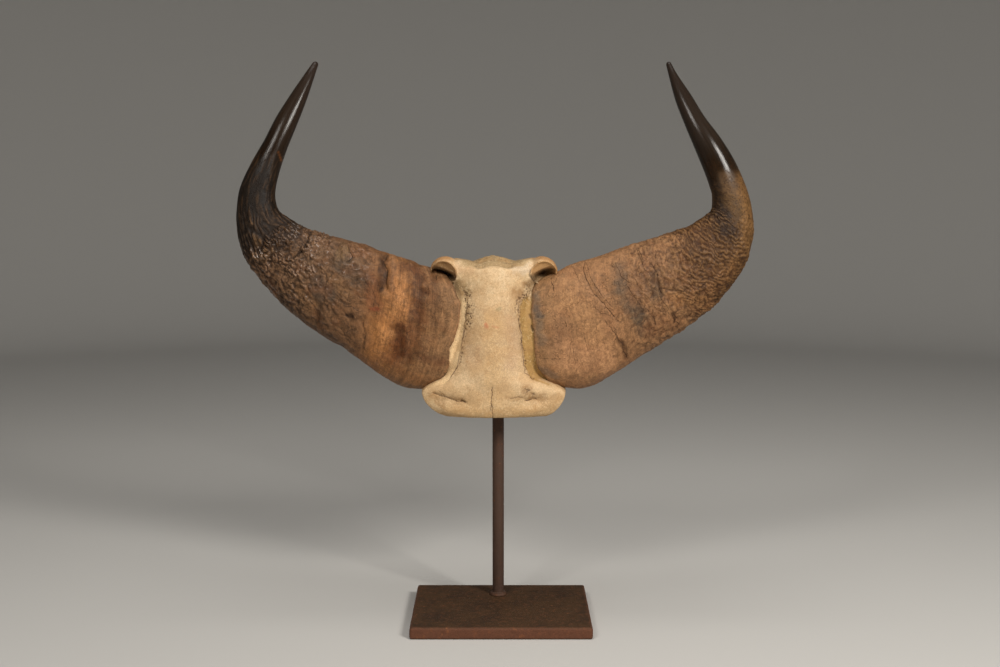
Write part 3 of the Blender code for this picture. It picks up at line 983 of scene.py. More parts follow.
@dataclass
class LeftHorn(Horn):
    """The left sheath: streaked at the root, banded, then scaly and knobbly up to a smooth black bend."""

    name: str = "left_sheath"
    node: str = "left_horn"
    side: Side = Side.LEFT
    seed: int = 21
    finish: HornFinish = HornFinish(
        "left_horn",
        warm=(130, 82, 50),
        dark=(44, 30, 20),
        crack_and_crease_shade=(40, 27, 17),
        light=(146, 112, 84),
        valley_shade_share=0.72,
        peak_light_share=0.18,
        peak_gloss=0.30,
        peak_coat=0.9,
        dull=0.54,
        polish=0.20,
    )
    rails: tuple[Rail, ...] = (
        Rail(36, (-95, 475), (-107, 312), 116, 45), Rail(38, (-113, 484), (-134, 313), 96, 30),
        Rail(42, (-143, 493), (-175, 335), 82, 15), Rail(46, (-176, 504), (-214, 365), 77, 8),
        Rail(50, (-209, 513), (-250, 386), 72, 4), Rail(53, (-240, 520), (-285, 413), 66, 1.5),
        Rail(56, (-266, 529), (-318, 447), 60, 0), Rail(58, (-287, 541), (-342, 475), 54.5, 0),
        Rail(60, (-302, 550), (-357, 507), 49, 0), Rail(62, (-308, 561), (-363, 541), 45, 0),
        Rail(64, (-310, 579), (-359, 582), 41, 0), Rail(67, (-305, 604), (-342, 620), 36, 0),
        Rail(71, (-294, 637), (-325, 650), 31, 0), Rail(78, (-281, 670), (-309, 682), 26, 0),
        Rail(88, (-269, 703), (-291, 712), 21, 0), Rail(99, (-259, 736), (-272, 741.5), 13, 0),
        Rail(106, (-254.5, 752.5), (-262.5, 756), 7.5, 0),
    )
    root_edge: tuple[Row, ...] = (
        (312, 2), (320, -6), (332, -3), (346, -4), (368, -6), (403, 1.5), (436, 6), (447, 2.5), (470, 0),
    )
    ground: Stops = (
        (0.0, (150, 112, 78)), (1.2, (144, 105, 71)), (2.3, (142, 99, 64)), (3.0, (122, 88, 61)),
        (5.0, (116, 87, 63)), (5.6, (118, 89, 65)), (6.1, (112, 83, 60)), (6.7, (66, 48, 33)), (7.6, (36, 26, 17)),
        (9.6, (26, 19, 12)), (11.0, (26, 19, 13)), (12.6, (46, 37, 30)), (16.0, (52, 44, 39)),
    )
    washes: Washes = patches(
        ((186, 128, 79), 30.0, 0.88, 0.55, -132, 468, -133, 428, -140, 393),
        ((182, 124, 74), 22.0, 0.92, 0.50, -157, 396, -163, 362),
        ((162, 112, 70), 16.0, 0.60, 0.50, -142, 343, -118, 328),
        ((86, 48, 25), 15.0, 0.90, 0.50, -132, 396, -134, 362),
        ((108, 64, 33), 12.0, 0.65, 0.50, -141, 374, -149, 358),
        ((90, 57, 35), 15.0, 0.92, 0.50, -119, 488, -110, 462, -108, 442, -112, 416),
        ((104, 67, 42), 13.0, 0.65, 0.50, -112, 414, -113, 390, -112, 366),
        ((96, 62, 38), 11.0, 0.70, 0.50, -118, 487, -134, 478),
        ((104, 72, 48), 8.0, 0.65, 0.50, -90, 470, -88, 432, -88, 402),
        ((112, 78, 56), 5.0, 0.60, 0.50, -107, 357, -77, 354),
        ((94, 76, 60), 16.0, 0.80, 0.40, -214, 484, -186, 462),
        ((84, 71, 60), 9.0, 0.80, 0.35, -248, 462, -228, 444),
        ((80, 66, 55), 6.0, 0.75, 0.30, -256, 450, -243, 438),
        ((132, 98, 68), 10.0, 0.60, 0.40, -228, 460, -206, 444),
        ((122, 76, 48), 13.0, 0.65, 0.45, -174, 458, -168, 427),
        ((144, 74, 48), 2.4, 0.60, 0.40, -172, 425, -168, 421),
        ((54, 34, 20), 3.4, 0.90, 0.30, -208, 414, -202, 414),
        ((54, 37, 24), 7.0, 0.90, 0.45, -158, 496, -159, 470, -160, 450),
        ((136, 98, 68), 4.5, 0.70, 0.45, -146, 494, -145, 470, -147, 450),
        ((132, 92, 62), 11.0, 0.65, 0.35, -196, 503, -172, 500),
        ((124, 96, 66), 8.0, 0.70, 0.30, -217, 492, -212, 502),
        ((130, 95, 64), 11.0, 0.65, 0.40, -274, 446, -252, 424),
        ((124, 90, 62), 12.0, 0.50, 0.40, -205, 398, -186, 382),
        ((82, 59, 41), 9.0, 0.70, 0.45, -318, 460, -288, 424, -256, 396, -222, 374),
        ((88, 65, 46), 13.0, 0.55, 0.40, -288, 522, -270, 500),
        ((66, 50, 36), 7.0, 0.55, 0.40, -243, 430, -246, 404),
        ((112, 84, 58), 6.0, 0.90, 0.35, -337, 494, -318, 489),
        ((112, 84, 58), 4.5, 0.85, 0.35, -316, 498, -308, 501),
        ((96, 72, 48), 4.5, 0.80, 0.35, -334, 519, -330, 510),
        ((24, 19, 14), 12.0, 0.85, 0.45, -349, 552, -350, 508),
        ((112, 84, 58), 1.3, 0.80, 0.40, -341, 542, -337, 538),
        ((112, 70, 40), 1.8, 0.85, 0.40, -302, 630, -301, 625),
    )
    furrows: Lines = strokes(
        (3.0, 2.2, -155, 497, -158, 486, -154, 473, -156, 452), (2.6, 1.6, -277, 544, -268, 534, -260, 522),
        (2.2, 1.0, -260, 522, -264, 509, -271, 499, -283, 488),
        (1.8, 0.9, -206, 507, -203, 499, -199, 492, -205, 485), (2.0, 0.9, -239, 448, -240, 431, -235, 424),
        (2.2, 1.0, -187, 408, -184, 388, -187, 369),
    )
    cracks: Lines = thin_lines(
        (1.0, -154, 495, -157, 486, -153, 473, -155, 455), (1.0, -206, 505, -204, 499, -200, 492, -205, 487),
        (1.0, -237, 444, -239, 431, -235, 426), (0.9, -224, 442, -217, 438, -210, 429, -201, 426, -192, 422),
        (0.9, -186, 405, -183, 386, -186, 371), (0.9, -252, 425, -245, 412, -248, 404), (0.7, -204, 381, -193, 368),
        (0.7, -217, 411, -206, 398, -193, 391), (0.8, -260, 522, -264, 509, -271, 499, -283, 488),
        (1.0, -86, 477, -86, 464), (0.8, -88, 422, -88, 402), (0.6, -92, 462, -92, 440), (0.5, -98, 452, -99, 424),
        (0.5, -78, 440, -80, 418), (0.8, -239, 476, -234, 462, -237, 449), (0.7, -231, 405, -211, 391, -193, 399),
        (0.7, -258, 435, -245, 411, -252, 401), (0.6, -297, 454, -283, 438, -273, 424),
        (0.6, -128, 394, -121, 381, -128, 367), (0.6, -213, 466, -203, 449, -207, 432),
        (0.7, -176, 456, -169, 440, -172, 429),
    )
    swells: Lines = strokes(
        (4.0, 1.4, -147, 494, -146, 472, -148, 450), (12.0, 4.0, -157, 388, -160, 358),
        (11.0, 1.2, -138, 470, -142, 436, -147, 396), (5.0, 0.9, -213, 503, -208, 495),
        (4.5, 1.4, -335, 493, -320, 491), (3.0, 1.2, -315, 498, -309, 500),
    )
    hollows: Lines = strokes(
        (8.0, 2.2, -110, 490, -108, 450, -111, 409, -118, 369, -128, 335), (8.0, 3.0, -136, 392, -137, 362),
        (7.0, 1.4, -163, 490, -165, 468, -168, 430, -178, 395), (2.6, 1.3, -208, 414, -202, 414),
        (6.0, 1.2, -244, 428, -250, 398),
    )
    elbow_brown: Colour = (72, 52, 33)
    split_brown: Colour = (52, 35, 23)
    split_share: float = 0.36
    drift: float = 1.6
    wide_drift: float = 4.5
    wide_lump: float = 14
    mottle_lump: float = 6.5

    def relief(self, places: HornPlaces, grain: Grain) -> tuple[Array, Array, Marks]:
        """Relief in millimetres, colours and masks for the finish.

        Args:
            places: Where the grid's points are.
            grain: Noise.

        Returns:
            The height of each point, its colour and the masks by name.
        """
        s, flat, upper = places.station, places.flat, places.upper
        wander = 0.35 * grain.smooth(flat / 15)
        bent = s + wander + 0.65 * upper
        foot = smoothstep(0.45, 0.85, np.clip(-upper, 0, 1) + 0.2 * grain.smooth(flat / 12 + 6.0))
        knobbly = smoothstep(4.0, 5.4, s + 1.8 * wander) * (1 - smoothstep(7.2, 7.9, bent))
        flaky = smoothstep(2.4, 3.2, s + wander) * (1 - smoothstep(5.0, 6.2, s))
        ribbed = smoothstep(6.3, 7.1, bent) * (1 - smoothstep(8.2, 9.8, bent))
        elbow = smoothstep(7.4, 8.6, bent) * (1 - smoothstep(11.0, 12.2, s))
        tip = smoothstep(8.0, 9.6, bent)
        loose = grain.warped(flat, 9.0, 3.2)
        patchy = 0.20 + 0.80 * smoothstep(-0.35, 0.40, grain.smooth(flat / 15 + 3.0))
        _, lump_edge, lump_mark = grain.cells(grain.warped(flat, 9.0, 4.5) / (12.0, 7.5, 7.5))
        _, small_edge, _ = grain.cells(grain.warped(flat, 6.0, 2.6) / (6.0, 4.2, 4.2))
        _, plate_edge, plate_mark = grain.cells(grain.warped(flat, 12.0, 5.0) / (19.0, 12.0, 12.0))
        knobs = (1.4 + 2.4 * lump_mark) * smoothstep(0.0, 0.50, lump_edge)
        knobs += 1.4 * smoothstep(0.0, 0.42, small_edge) + 0.8 * grain.rough(loose / 5.0)
        rows = grain.billow(grain.warped(flat, 14.0, 3.0) / (20.0, 4.6, 4.6))
        plates = 0.9 * plate_mark + 0.15 * smoothstep(0.0, 0.14, plate_edge)
        split = (1 - smoothstep(0.01, 0.10, plate_edge)) * smoothstep(0.0, 0.4, grain.smooth(flat / 9 + 11.0))
        split *= np.clip(flaky + 0.5 * knobbly, 0, 1) * (0.3 + 0.7 * places.front)
        slivers = grain.billow(loose / (24.0, 5.0, 5.0))
        ribs = grain.billow(grain.warped(flat, 20.0, 2.2) / (46.0, 5.2, 5.2), 1)
        strands = grain.rough(grain.warped(flat, 20.0, 2.0) / (42.0, 3.6, 3.6))
        level = s + 0.7 * wander + smoothstep(5.2, 6.6, s) * 0.65 * upper
        height, tone, mottle, marks = self.hand_drawn(places, grain, level)
        height += 1.3 * grain.rough(flat / 27) * (1 - tip)
        height += knobbly * ((1 - 0.5 * foot) * patchy * knobs + 1.2 * foot * rows)
        height += flaky * (plates + 0.8 * patchy * slivers + 0.45 * grain.rough(loose / (10.0, 6.0, 6.0)))
        height += ribbed * 0.95 * ribs - 0.35 * split + elbow * 0.16 * strands
        height += (1 - smoothstep(1.6, 2.8, s)) * 0.26 * grain.rough(flat / (3.4, 26.0, 26.0), 2)
        height += tip * 0.06 * grain.smooth(flat / (60.0, 7.0, 7.0))
        streak = grain.rough(flat / (2.6, 30.0, 30.0)) * (1 - smoothstep(1.8, 3.0, s))
        cloudy = 0.14 * streak + 0.10 * mottle * (1 - tip) + 0.55 * ribbed * (ribs - 0.55)
        tone = blend(tone * (1 + cloudy)[..., None], elbow * np.clip(0.9 * strands, 0, 0.7), self.elbow_brown)
        marks["polish"] = smoothstep(10.5, 12.0, s + wander)
        marks["warmth"] = 1 - smoothstep(5.4, 6.4, bent)
        marks["knobbly"] = np.maximum(knobbly, 0.4 * flaky)
        marks["creased"] = np.max([knobbly, 0.8 * ribbed, 0.30 + 0.20 * flaky], axis=0)
        marks["growth"] = 1 - smoothstep(2.0, 3.4, s)
        marks["specks"] = np.zeros_like(s)
        return height, blend(tone, self.split_share * split, self.split_brown), marks


@dataclass
class RightHorn(Horn):
    """The right sheath: smooth and tan at the root, cracked, then crossed by wavy wrinkles up to the bend."""

    name: str = "right_sheath"
    node: str = "right_horn"
    side: Side = Side.RIGHT
    seed: int = 34
    finish: HornFinish = HornFinish(
        "right_horn",
        warm=(150, 98, 62),
        dark=(62, 42, 26),
        crack_and_crease_shade=(56, 35, 21),
        light=(176, 134, 90),
        valley_shade_share=0.60,
        peak_light_share=0.22,
        peak_gloss=0.06,
        peak_coat=0.1,
        dull=0.58,
        polish=0.18,
    )
    rails: tuple[Rail, ...] = (
        Rail(36, (88, 474), (91, 314), 112, -45), Rail(38, (101, 483), (120, 313), 96, -30),
        Rail(42, (135, 493), (164, 337), 82, -15), Rail(46, (169, 505), (205, 363), 77, -8),
        Rail(50, (204, 515), (244, 388), 72, -4), Rail(53, (234, 524), (277, 412), 67, -1.5),
        Rail(56, (259, 534), (304, 438), 62, 0), Rail(58, (277, 545), (326, 467), 56.5, 0),
        Rail(60, (288, 554), (341, 497), 52, 0), Rail(62, (290, 566), (346, 533), 48, 0),
        Rail(64, (288, 581), (341, 571), 44, 0), Rail(67, (280, 604), (324, 615), 38, 0),
        Rail(71, (266, 638), (302, 652), 33, 0), Rail(78, (253, 670), (280, 682), 28, 0),
        Rail(88, (241, 703), (263, 711), 22, 0), Rail(99, (233, 736), (244, 741), 12, 0),
        Rail(106, (229.5, 753), (236.5, 756), 7, 0),
    )
    root_edge: tuple[Row, ...] = (
        (312, 2), (327, 2), (338, 8), (359, 7), (393, 6), (416, 10), (446, 14), (455, 18), (462, 20), (468, 18),
        (474, 10),
    )
    ground: Stops = (
        (0.0, (158, 120, 84)), (1.0, (157, 115, 80)), (2.2, (158, 115, 79)), (3.2, (152, 111, 77)),
        (4.2, (142, 104, 72)), (5.2, (108, 76, 48)), (6.2, (92, 63, 36)), (7.4, (90, 62, 34)), (8.6, (94, 67, 37)),
        (9.6, (92, 68, 39)), (10.3, (84, 62, 40)), (10.8, (54, 41, 29)), (11.3, (40, 32, 25)), (12.6, (50, 42, 36)),
        (16.0, (48, 40, 35)),
    )
    washes: Washes = patches(
        ((178, 132, 90), 22.0, 0.62, 0.50, 84, 442, 112, 418, 124, 395),
        ((190, 140, 100), 24.0, 0.80, 0.50, 88, 362, 136, 354),
        ((140, 102, 74), 16.0, 0.45, 0.45, 80, 404, 70, 380),
        ((124, 108, 90), 6.5, 0.60, 0.40, 46, 446, 51, 410, 54, 380),
        ((98, 90, 80), 4.5, 0.85, 0.30, 46, 428, 52, 416),
        ((120, 103, 86), 6.0, 0.65, 0.35, 53, 342, 76, 334),
        ((162, 118, 84), 13.0, 0.55, 0.40, 128, 444, 150, 402),
        ((108, 88, 70), 11.0, 0.78, 0.45, 160, 474, 162, 452),
        ((102, 84, 67), 12.0, 0.78, 0.45, 159, 449, 174, 433),
        ((76, 65, 54), 12.0, 0.85, 0.45, 182, 420, 196, 394),
        ((100, 83, 66), 9.0, 0.75, 0.40, 168, 426, 180, 411),
        ((84, 69, 55), 13.0, 0.80, 0.40, 204, 467, 211, 446),
        ((94, 70, 50), 7.0, 0.65, 0.35, 222, 453, 246, 447),
        ((124, 87, 61), 18.0, 0.45, 0.45, 214, 500, 190, 470, 180, 440),
        ((156, 114, 78), 9.0, 0.75, 0.35, 216, 508, 238, 515),
        ((150, 107, 68), 12.0, 0.80, 0.40, 238, 438, 280, 430),
        ((140, 99, 62), 9.0, 0.65, 0.40, 274, 438, 312, 478),
        ((142, 98, 66), 13.0, 0.55, 0.40, 200, 396, 240, 402),
        ((86, 58, 37), 6.5, 0.75, 0.35, 163, 380, 169, 360),
        ((84, 60, 38), 14.0, 0.50, 0.45, 262, 505, 286, 486),
        ((42, 29, 18), 15.0, 0.95, 0.50, 298, 556, 305, 528),
        ((40, 29, 19), 15.0, 0.95, 0.50, 284, 610, 288, 580, 290, 556),
        ((128, 93, 57), 12.0, 0.80, 0.50, 328, 592, 339, 550, 333, 506),
        ((120, 86, 52), 12.0, 0.55, 0.45, 300, 478, 322, 492),
        ((112, 84, 54), 9.0, 0.50, 0.45, 304, 600, 316, 560),
    )
    furrows: Lines = strokes(
        (1.6, 0.7, 113, 487, 111, 475, 115, 462, 122, 448, 132, 437, 148, 419, 157, 409),
        (2.4, 1.3, 202, 483, 209, 472, 211, 458, 215, 445), (2.2, 1.0, 216, 452, 227, 449, 246, 446, 251, 451),
        (2.4, 1.3, 231, 417, 238, 411, 235, 404), (2.4, 1.2, 164, 378, 167, 365, 171, 355),
    )
    cracks: Lines = thin_lines(
        (1.0, 68, 472, 68, 461, 70, 449),
        (1.0, 113, 487, 111, 475, 115, 462, 122, 448, 132, 437, 148, 419, 157, 409),
        (0.9, 116, 482, 119, 468, 127, 453, 136, 441, 148, 427), (0.8, 122, 448, 127, 441),
        (0.8, 140, 408, 150, 396, 156, 384), (0.7, 170, 452, 182, 436, 190, 424),
        (0.6, 176, 470, 184, 456, 196, 440), (0.8, 196, 424, 206, 410, 210, 398),
        (0.9, 186, 503, 189, 494, 191, 485), (1.0, 202, 483, 209, 472, 211, 458, 215, 445),
        (0.9, 216, 452, 227, 449, 246, 446, 251, 451), (1.0, 231, 417, 238, 411, 235, 404),
        (1.0, 164, 378, 167, 365, 171, 355), (0.8, 153, 392, 163, 375), (0.8, 187, 375, 198, 377, 212, 374),
        (0.9, 85, 408, 87, 401), (0.8, 49, 359, 68, 357, 85, 358), (0.6, 94, 385, 98, 365, 101, 349),
        (0.7, 128, 420, 139, 424), (0.9, 184, 500, 188, 488, 193, 476, 201, 468),
        (0.9, 214, 439, 224, 425, 235, 408, 240, 403), (0.6, 125, 427, 135, 417, 146, 415),
        (0.7, 146, 407, 156, 393, 153, 379), (0.7, 195, 442, 207, 425, 221, 415), (0.6, 97, 478, 103, 466),
        (0.6, 248, 462, 262, 448, 269, 434), (0.5, 88, 418, 98, 402), (0.5, 112, 384, 117, 367),
        (0.6, 155, 483, 162, 466, 176, 456),
    )
    swells: Lines = strokes(
        (4.0, 0.9, 204, 480, 212, 466, 219, 450), (9.0, 1.2, 122, 330, 150, 342), (10.0, 0.9, 80, 342, 104, 338),
        (12.0, 0.5, 62, 460, 60, 420, 64, 370),
    )
    hollows: Lines = ()
    split_brown: Colour = (78, 52, 34)
    split_share: float = 0.42
    drift: float = 1.5
    wide_drift: float = 4.0
    wide_lump: float = 13
    mottle_lump: float = 6.0
    wrinkle_pitch: float = 7.2

    def relief(self, places: HornPlaces, grain: Grain) -> tuple[Array, Array, Marks]:
        """Relief in millimetres, colours and masks for the finish.

        Args:
            places: Where the grid's points are.
            grain: Noise.

        Returns:
            The height of each point, its colour and the masks by name.
        """
        s, flat, down = places.station, places.flat, places.down
        wander = 0.4 * grain.smooth(flat / 16)
        wrinkled = smoothstep(4.0, 5.2, s + 1.5 * wander) * (1 - smoothstep(7.8, 9.4, s + wander))
        before_wrinkles = 1 - smoothstep(5.0, 6.4, s)
        flaky = smoothstep(2.4, 3.4, s + wander) * before_wrinkles
        tip = smoothstep(9.8, 11.0, s + 0.5 * wander)
        calm = 0.40 + 0.60 * smoothstep(0.0, 0.6, places.front)
        ragged = smoothstep(0.1, 0.8, -places.upper) * smoothstep(0.4, 2.0, s) * (1 - smoothstep(6.6, 8.2, s))
        loose = grain.warped(flat, 13.0, 3.4)
        slant = 0.30 * down + 0.0062 * np.maximum(0, down - 25) ** 2
        stray = 1.2 * grain.smooth(flat / (22.0, 30.0, 30.0)) + 0.65 * grain.smooth(flat / (9.0, 11.0, 11.0))
        phase = (flat[..., 0] - slant) / self.wrinkle_pitch + stray + 0.22 * grain.smooth(flat / 4.5)
        ridges = np.abs(np.sin(np.pi * phase)) ** 0.8
        patchy = 0.25 + 0.75 * smoothstep(-0.40, 0.35, grain.smooth(flat / (10.0, 17.0, 17.0) + 3.0))
        fold = grain.warped(flat, 10.0, 5.0)
        fold[..., 0] -= slant
        wavy = grain.billow(fold / (5.0, 17.0, 17.0))
        _, plate_edge, plate_mark = grain.cells(grain.warped(flat, 12.0, 4.0) / (12.0, 15.0, 15.0))
        plates = 0.45 * plate_mark + 0.30 * smoothstep(0.0, 0.12, plate_edge)
        split = (1 - smoothstep(0.01, 0.10, plate_edge)) * smoothstep(-0.05, 0.35, grain.smooth(flat / 9 + 11.0))
        split *= smoothstep(1.4, 2.6, s + wander) * before_wrinkles * (0.3 + 0.7 * places.front)
        height, tone, _, marks = self.hand_drawn(places, grain, s + 0.8 * wander)
        height += 0.8 * grain.rough(flat / 38) * (1 - tip)
        height += wrinkled * calm * (2.0 * patchy * ridges + 1.0 * wavy + 0.35 * grain.rough(loose / 4.5))
        height += flaky * calm * (1.7 * plates + 0.9 * grain.rough(loose / (6.0, 12.0, 12.0)))
        height += 1.3 * flaky * calm * patchy * smoothstep(0.5, 0.9, patchy) * wavy
        height += (1 - smoothstep(2.4, 3.6, s)) * 0.22 * grain.rough(flat / (4.2, 20.0, 20.0))
        height += 0.20 * (1 - tip) * grain.rough(flat / 4.5, 2)
        height += ragged * 0.75 * grain.rough(flat / (11.0, 8.0, 8.0)) - 0.5 * split
        height += tip * 0.06 * grain.smooth(flat / (60.0, 7.0, 7.0))
        cloudy = 0.08 * grain.rough(flat / 24) + 0.11 * grain.rough(flat / 11) + 0.06 * grain.rough(flat / 2.6)
        tone = tone * (1 + cloudy * (1 - tip))[..., None]
        marks["polish"] = smoothstep(10.2, 11.2, s + 0.8 * wander)
        marks["warmth"] = 0.7 * (1 - smoothstep(5.0, 7.0, s))
        marks["knobbly"] = np.maximum(0.5 * wrinkled, 0.3 * flaky)
        marks["creased"] = np.maximum(wrinkled, 0.26 + 0.34 * flaky)
        marks["growth"] = 0.55 * (1 - smoothstep(2.6, 4.0, s))
        marks["specks"] = 0.20 + 0.70 * smoothstep(7.6, 9.0, s) * (1 - smoothstep(10.6, 12.0, s))
        return height, blend(tone, self.split_share * split, self.split_brown), marks


@dataclass(frozen=True)
class BoneFinish:
    """Dry old bone, whose colours the piece carries: mottled and speckled, with open pores and brown pits."""

    name: str = "aged_bone"
    pale: Colour = (236, 208, 168)
    tan: Colour = (196, 150, 98)
    brown: Colour = (92, 62, 38)
    rough: float = 0.62
    bump_depth: float = 0.0005

    def build(self) -> bpy.types.Material:
        """Make the material, which reads the colour and the masks that the bone carries.

        Returns:
            The material.
        """
        graph = Graph(self.name, self.rough, specular=0.30)
        cloud = graph.noise(0.026, 3.0)
        mottle = graph.noise(0.0075, 3.0, 0.65)
        speck = graph.noise(0.0026, 3.0, 0.7)
        grain = graph.noise(0.0013, 2.0, 0.6)
        pores = graph.cells(0.0034).ramp(0.26, 0.06) * speck.ramp(0.50, 0.60)
        holes = graph.cells(0.0031).ramp(0.54, 0.30) * graph.noise(0.008, 2.0).ramp(0.40, 0.54)
        pitted = graph.attribute("pit") * holes
        line = graph.drawn(0.70)
        colour = graph.toned(mottle.swing(0.05) * speck.swing(0.07) * grain.swing(0.08))
        layers = (
            (cloud.ramp(0.44, 0.62) * 0.30, self.tan),
            (speck.ramp(0.54, 0.68) * cloud.ramp(0.60, 0.44) * 0.55, self.pale),
            (speck.ramp(0.45, 0.32) * cloud.ramp(0.40, 0.56) * 0.60, self.tan),
            (pores * 0.40, self.brown),
            (pitted * 0.90, self.brown),
            (line * 0.9, self.brown),
        )
        for share, over in layers:
            colour = graph.mix(share, colour, over)
        fine = grain * 0.4 + speck * 0.6 + mottle * 0.4 - pores * 0.8 - pitted * 1.4 - line * 1.5
        graph.bump(fine, self.bump_depth, 0.6)
        return graph.finish(colour, self.rough + 0.22 * (mottle - 0.5))


@dataclass
class SkullBone:
    """The sawn plate of bone, remeshed finely from its solid, with its pits, grooves, strips and sawn cells."""

    name: str = "skull_bone"
    node: str = "skull_plate"
    slot: str = "bone"
    seed: int = 11
    finish: BoneFinish = BoneFinish()
    voxel: float = 0.00125
    smooth_factor: float = 0.5
    smooth_rounds: int = 7
    midline: float = -10.0
    saw_foot_y: float = 40.0
    saw_foot_z: float = 278.0
    saw_slope: float = 0.30
    scoop_centre: Point3 = (68.0, -2.0, 471.5)
    scoop_radii: Point3 = (17.5, 34.0, 16.8)
    scoop_fill: float = 0.70
    rim_drop: float = 3.2
    drift: float = 1.1
    drift_lump: float = 7.0
    wide_drift: float = 3.5
    wide_lump: float = 12.0
    ground: Stops = (
        (278.0, (208, 171, 122)), (300.0, (224, 188, 142)), (330.0, (223, 188, 144)), (370.0, (211, 175, 132)),
        (404.0, (210, 176, 134)), (440.0, (222, 187, 143)), (472.0, (227, 195, 151)),
    )
    orange: Colour = (184, 132, 82)
    lit_scoop_wall: Colour = (214, 166, 112)
    # Painted light: a pale colour for the upper wall of each hollow, which lifts the shadow inside it.
    scoop_shade: Colour = (148, 110, 70)
    nape: Colour = (171, 142, 101)
    saw_cut: Colour = (222, 190, 142)
    marrow: Colour = (140, 100, 62)
    back: Colour = (196, 156, 108)
    # Dark brown: painted shade in the pockets under the loops, and dirt with painted shade in pits and holes.
    dirt_and_shade: Colour = (50, 34, 20)
    yellow_strip: Colour = (183, 144, 84)
    # The left strip's own pale colour, made paler still as painted light against the shade on its sideways face.
    pale_lit_strip: Colour = (252, 214, 162)
    strip_levels: Row = (322.0, 330.0, 347.0, 367.0, 392.0, 408.0, 426.0, 440.0)
    left_strip: Row = (-77.0, -68.0, -59.0, -55.0, -51.0, -48.5, -46.5, -46.0)
    right_strip: Row = (62.0, 40.0, 31.5, 30.0, 27.0, 25.0, 24.0, 30.0)
    washes: Washes = patches(
        ((231, 200, 158), 11.0, 0.70, 0.45, -24, 476, -6, 470, 16, 476),
        ((220, 196, 166), 9.0, 0.70, 0.40, 22, 478, 36, 480),
        ((206, 170, 132), 8.0, 0.60, 0.40, -57, 480, -42, 476),
        ((216, 175, 123), 13.0, 0.50, 0.50, -11, 412, -11, 372, -10, 308),
        ((209, 172, 136), 9.0, 0.55, 0.45, 14, 411, 18, 371, 14, 350),
        ((205, 168, 130), 8.0, 0.45, 0.45, -48, 392, -42, 352),
        ((230, 198, 156), 8.0, 0.55, 0.40, -56, 352, -62, 338, -42, 330),
        ((198, 156, 114), 6.0, 0.55, 0.35, -32, 372, -31, 357),
        ((158, 128, 88), 7.5, 0.90, 0.45, -55, 457, -47, 448),
        ((138, 106, 70), 6.0, 0.85, 0.45, 32, 456, 42, 460),
        ((152, 116, 78), 7.5, 0.80, 0.45, 20, 447, 30, 434),
        ((174, 140, 98), 6.0, 0.75, 0.45, -52, 448, -47, 434, -46, 418, -51, 400),
        ((170, 131, 88), 8.0, 0.65, 0.40, 33, 318, 42, 306, 56, 303),
        ((176, 138, 94), 4.0, 0.45, 0.40, 10, 306, 28, 306),
        ((172, 134, 90), 5.0, 0.55, 0.40, -88, 309, -56, 301),
        ((194, 153, 104), 6.0, 0.50, 0.45, -60, 290, 0, 287, 58, 292),
        ((184, 148, 104), 8.0, 0.60, 0.45, 60, 297, 78, 304),
        ((172, 132, 88), 7.0, 0.60, 0.45, -94, 307, -80, 296),
        ((168, 124, 68), 5.0, 0.95, 0.35, 46, 334, 62, 328, 84, 323),
        ((172, 136, 94), 3.2, 0.60, 0.30, -74, 331, -94, 322),
        ((205, 112, 84), 2.6, 0.70, 0.35, -19.5, 404, -17.5, 403),
        ((204, 130, 96), 1.6, 0.45, 0.35, -11, 403, -6, 402),
        ((146, 136, 96), 2.4, 0.55, 0.30, -6, 425, -3, 425),
        ((160, 124, 84), 1.7, 0.60, 0.30, -26, 393, -24, 392),
        ((228, 196, 150), 2.6, 0.45, 0.40, -104, 314, -92, 293, -62, 281),
        ((228, 196, 150), 2.6, 0.45, 0.40, 88, 312, 80, 294, 66, 283),
    )
    cracks: Lines = thin_lines(
        (1.3, -12, 320, -12, 310, -14, 300, -12, 293, -11, 277), (1.1, -92, 311, -74, 305, -56, 300, -47, 299),
        (0.8, -83, 314, -74, 307), (1.1, 34, 302, 42, 304, 48, 303), (0.6, 12, 306, 29, 307),
        (0.85, -45, 438, -48, 408, -54, 367, -59, 346, -70, 329),
        (1.05, 23, 430, 25, 403, 28, 384, 30, 361, 32, 339, 42, 331), (0.9, 28, 392, 30, 384, 28, 376),
    )
    grooves: Lines = strokes(
        (1.5, 1.0, -12, 320, -12, 310, -14, 300, -12, 293, -11, 277),
        (1.8, 1.1, -92, 311, -74, 305, -56, 300, -47, 299), (2.0, 1.3, 34, 302, 42, 304, 50, 303),
        (1.8, 0.5, 12, 306, 29, 307), (1.5, 0.45, 23, 426, 25, 403, 28, 384, 30, 361, 32, 339),
    )
    swells: Lines = strokes(
        (7.0, 1.0, -80, 290, -40, 284), (7.0, 1.0, 70, 293, 34, 287), (6.0, 0.8, -20, 476, 0, 476),
        (4.0, 0.8, -44, 452, -36, 462), (4.0, 0.8, 20, 462, 28, 450),
    )
    pit_bands: Lines = strokes(
        (5.5, 1.1, -52, 448, -44, 436, -42, 418, -45, 402), (2.6, 0.7, -46, 402, -51, 378, -57, 352),
        (6.5, 1.1, 36, 446, 27, 436, 22, 424), (2.4, 0.9, 24, 426, 26, 403, 30, 361, 33, 339, 44, 330),
        (5.0, 0.6, 36, 317, 44, 310),
    )
    # Where the painted shade of the dark pockets under the crown's loops lies.
    dark_slots: Lines = strokes(
        (7.0, 1.0, -85, 474, -72, 469, -58, 462), (7.0, 1.0, 63, 473, 52, 469, 38, 461),
    )
    holes: Lines = strokes(
        (1.7, 1.0, 38, 416, 40, 412), (1.9, 1.0, 41, 401, 43, 396), (1.3, 0.7, 36, 317, 37, 316),
        (1.4, 0.8, 43, 311, 44, 310), (1.3, 0.6, -14, 295, -14, 288), (1.6, 0.8, -53, 302, -49, 300),
    )

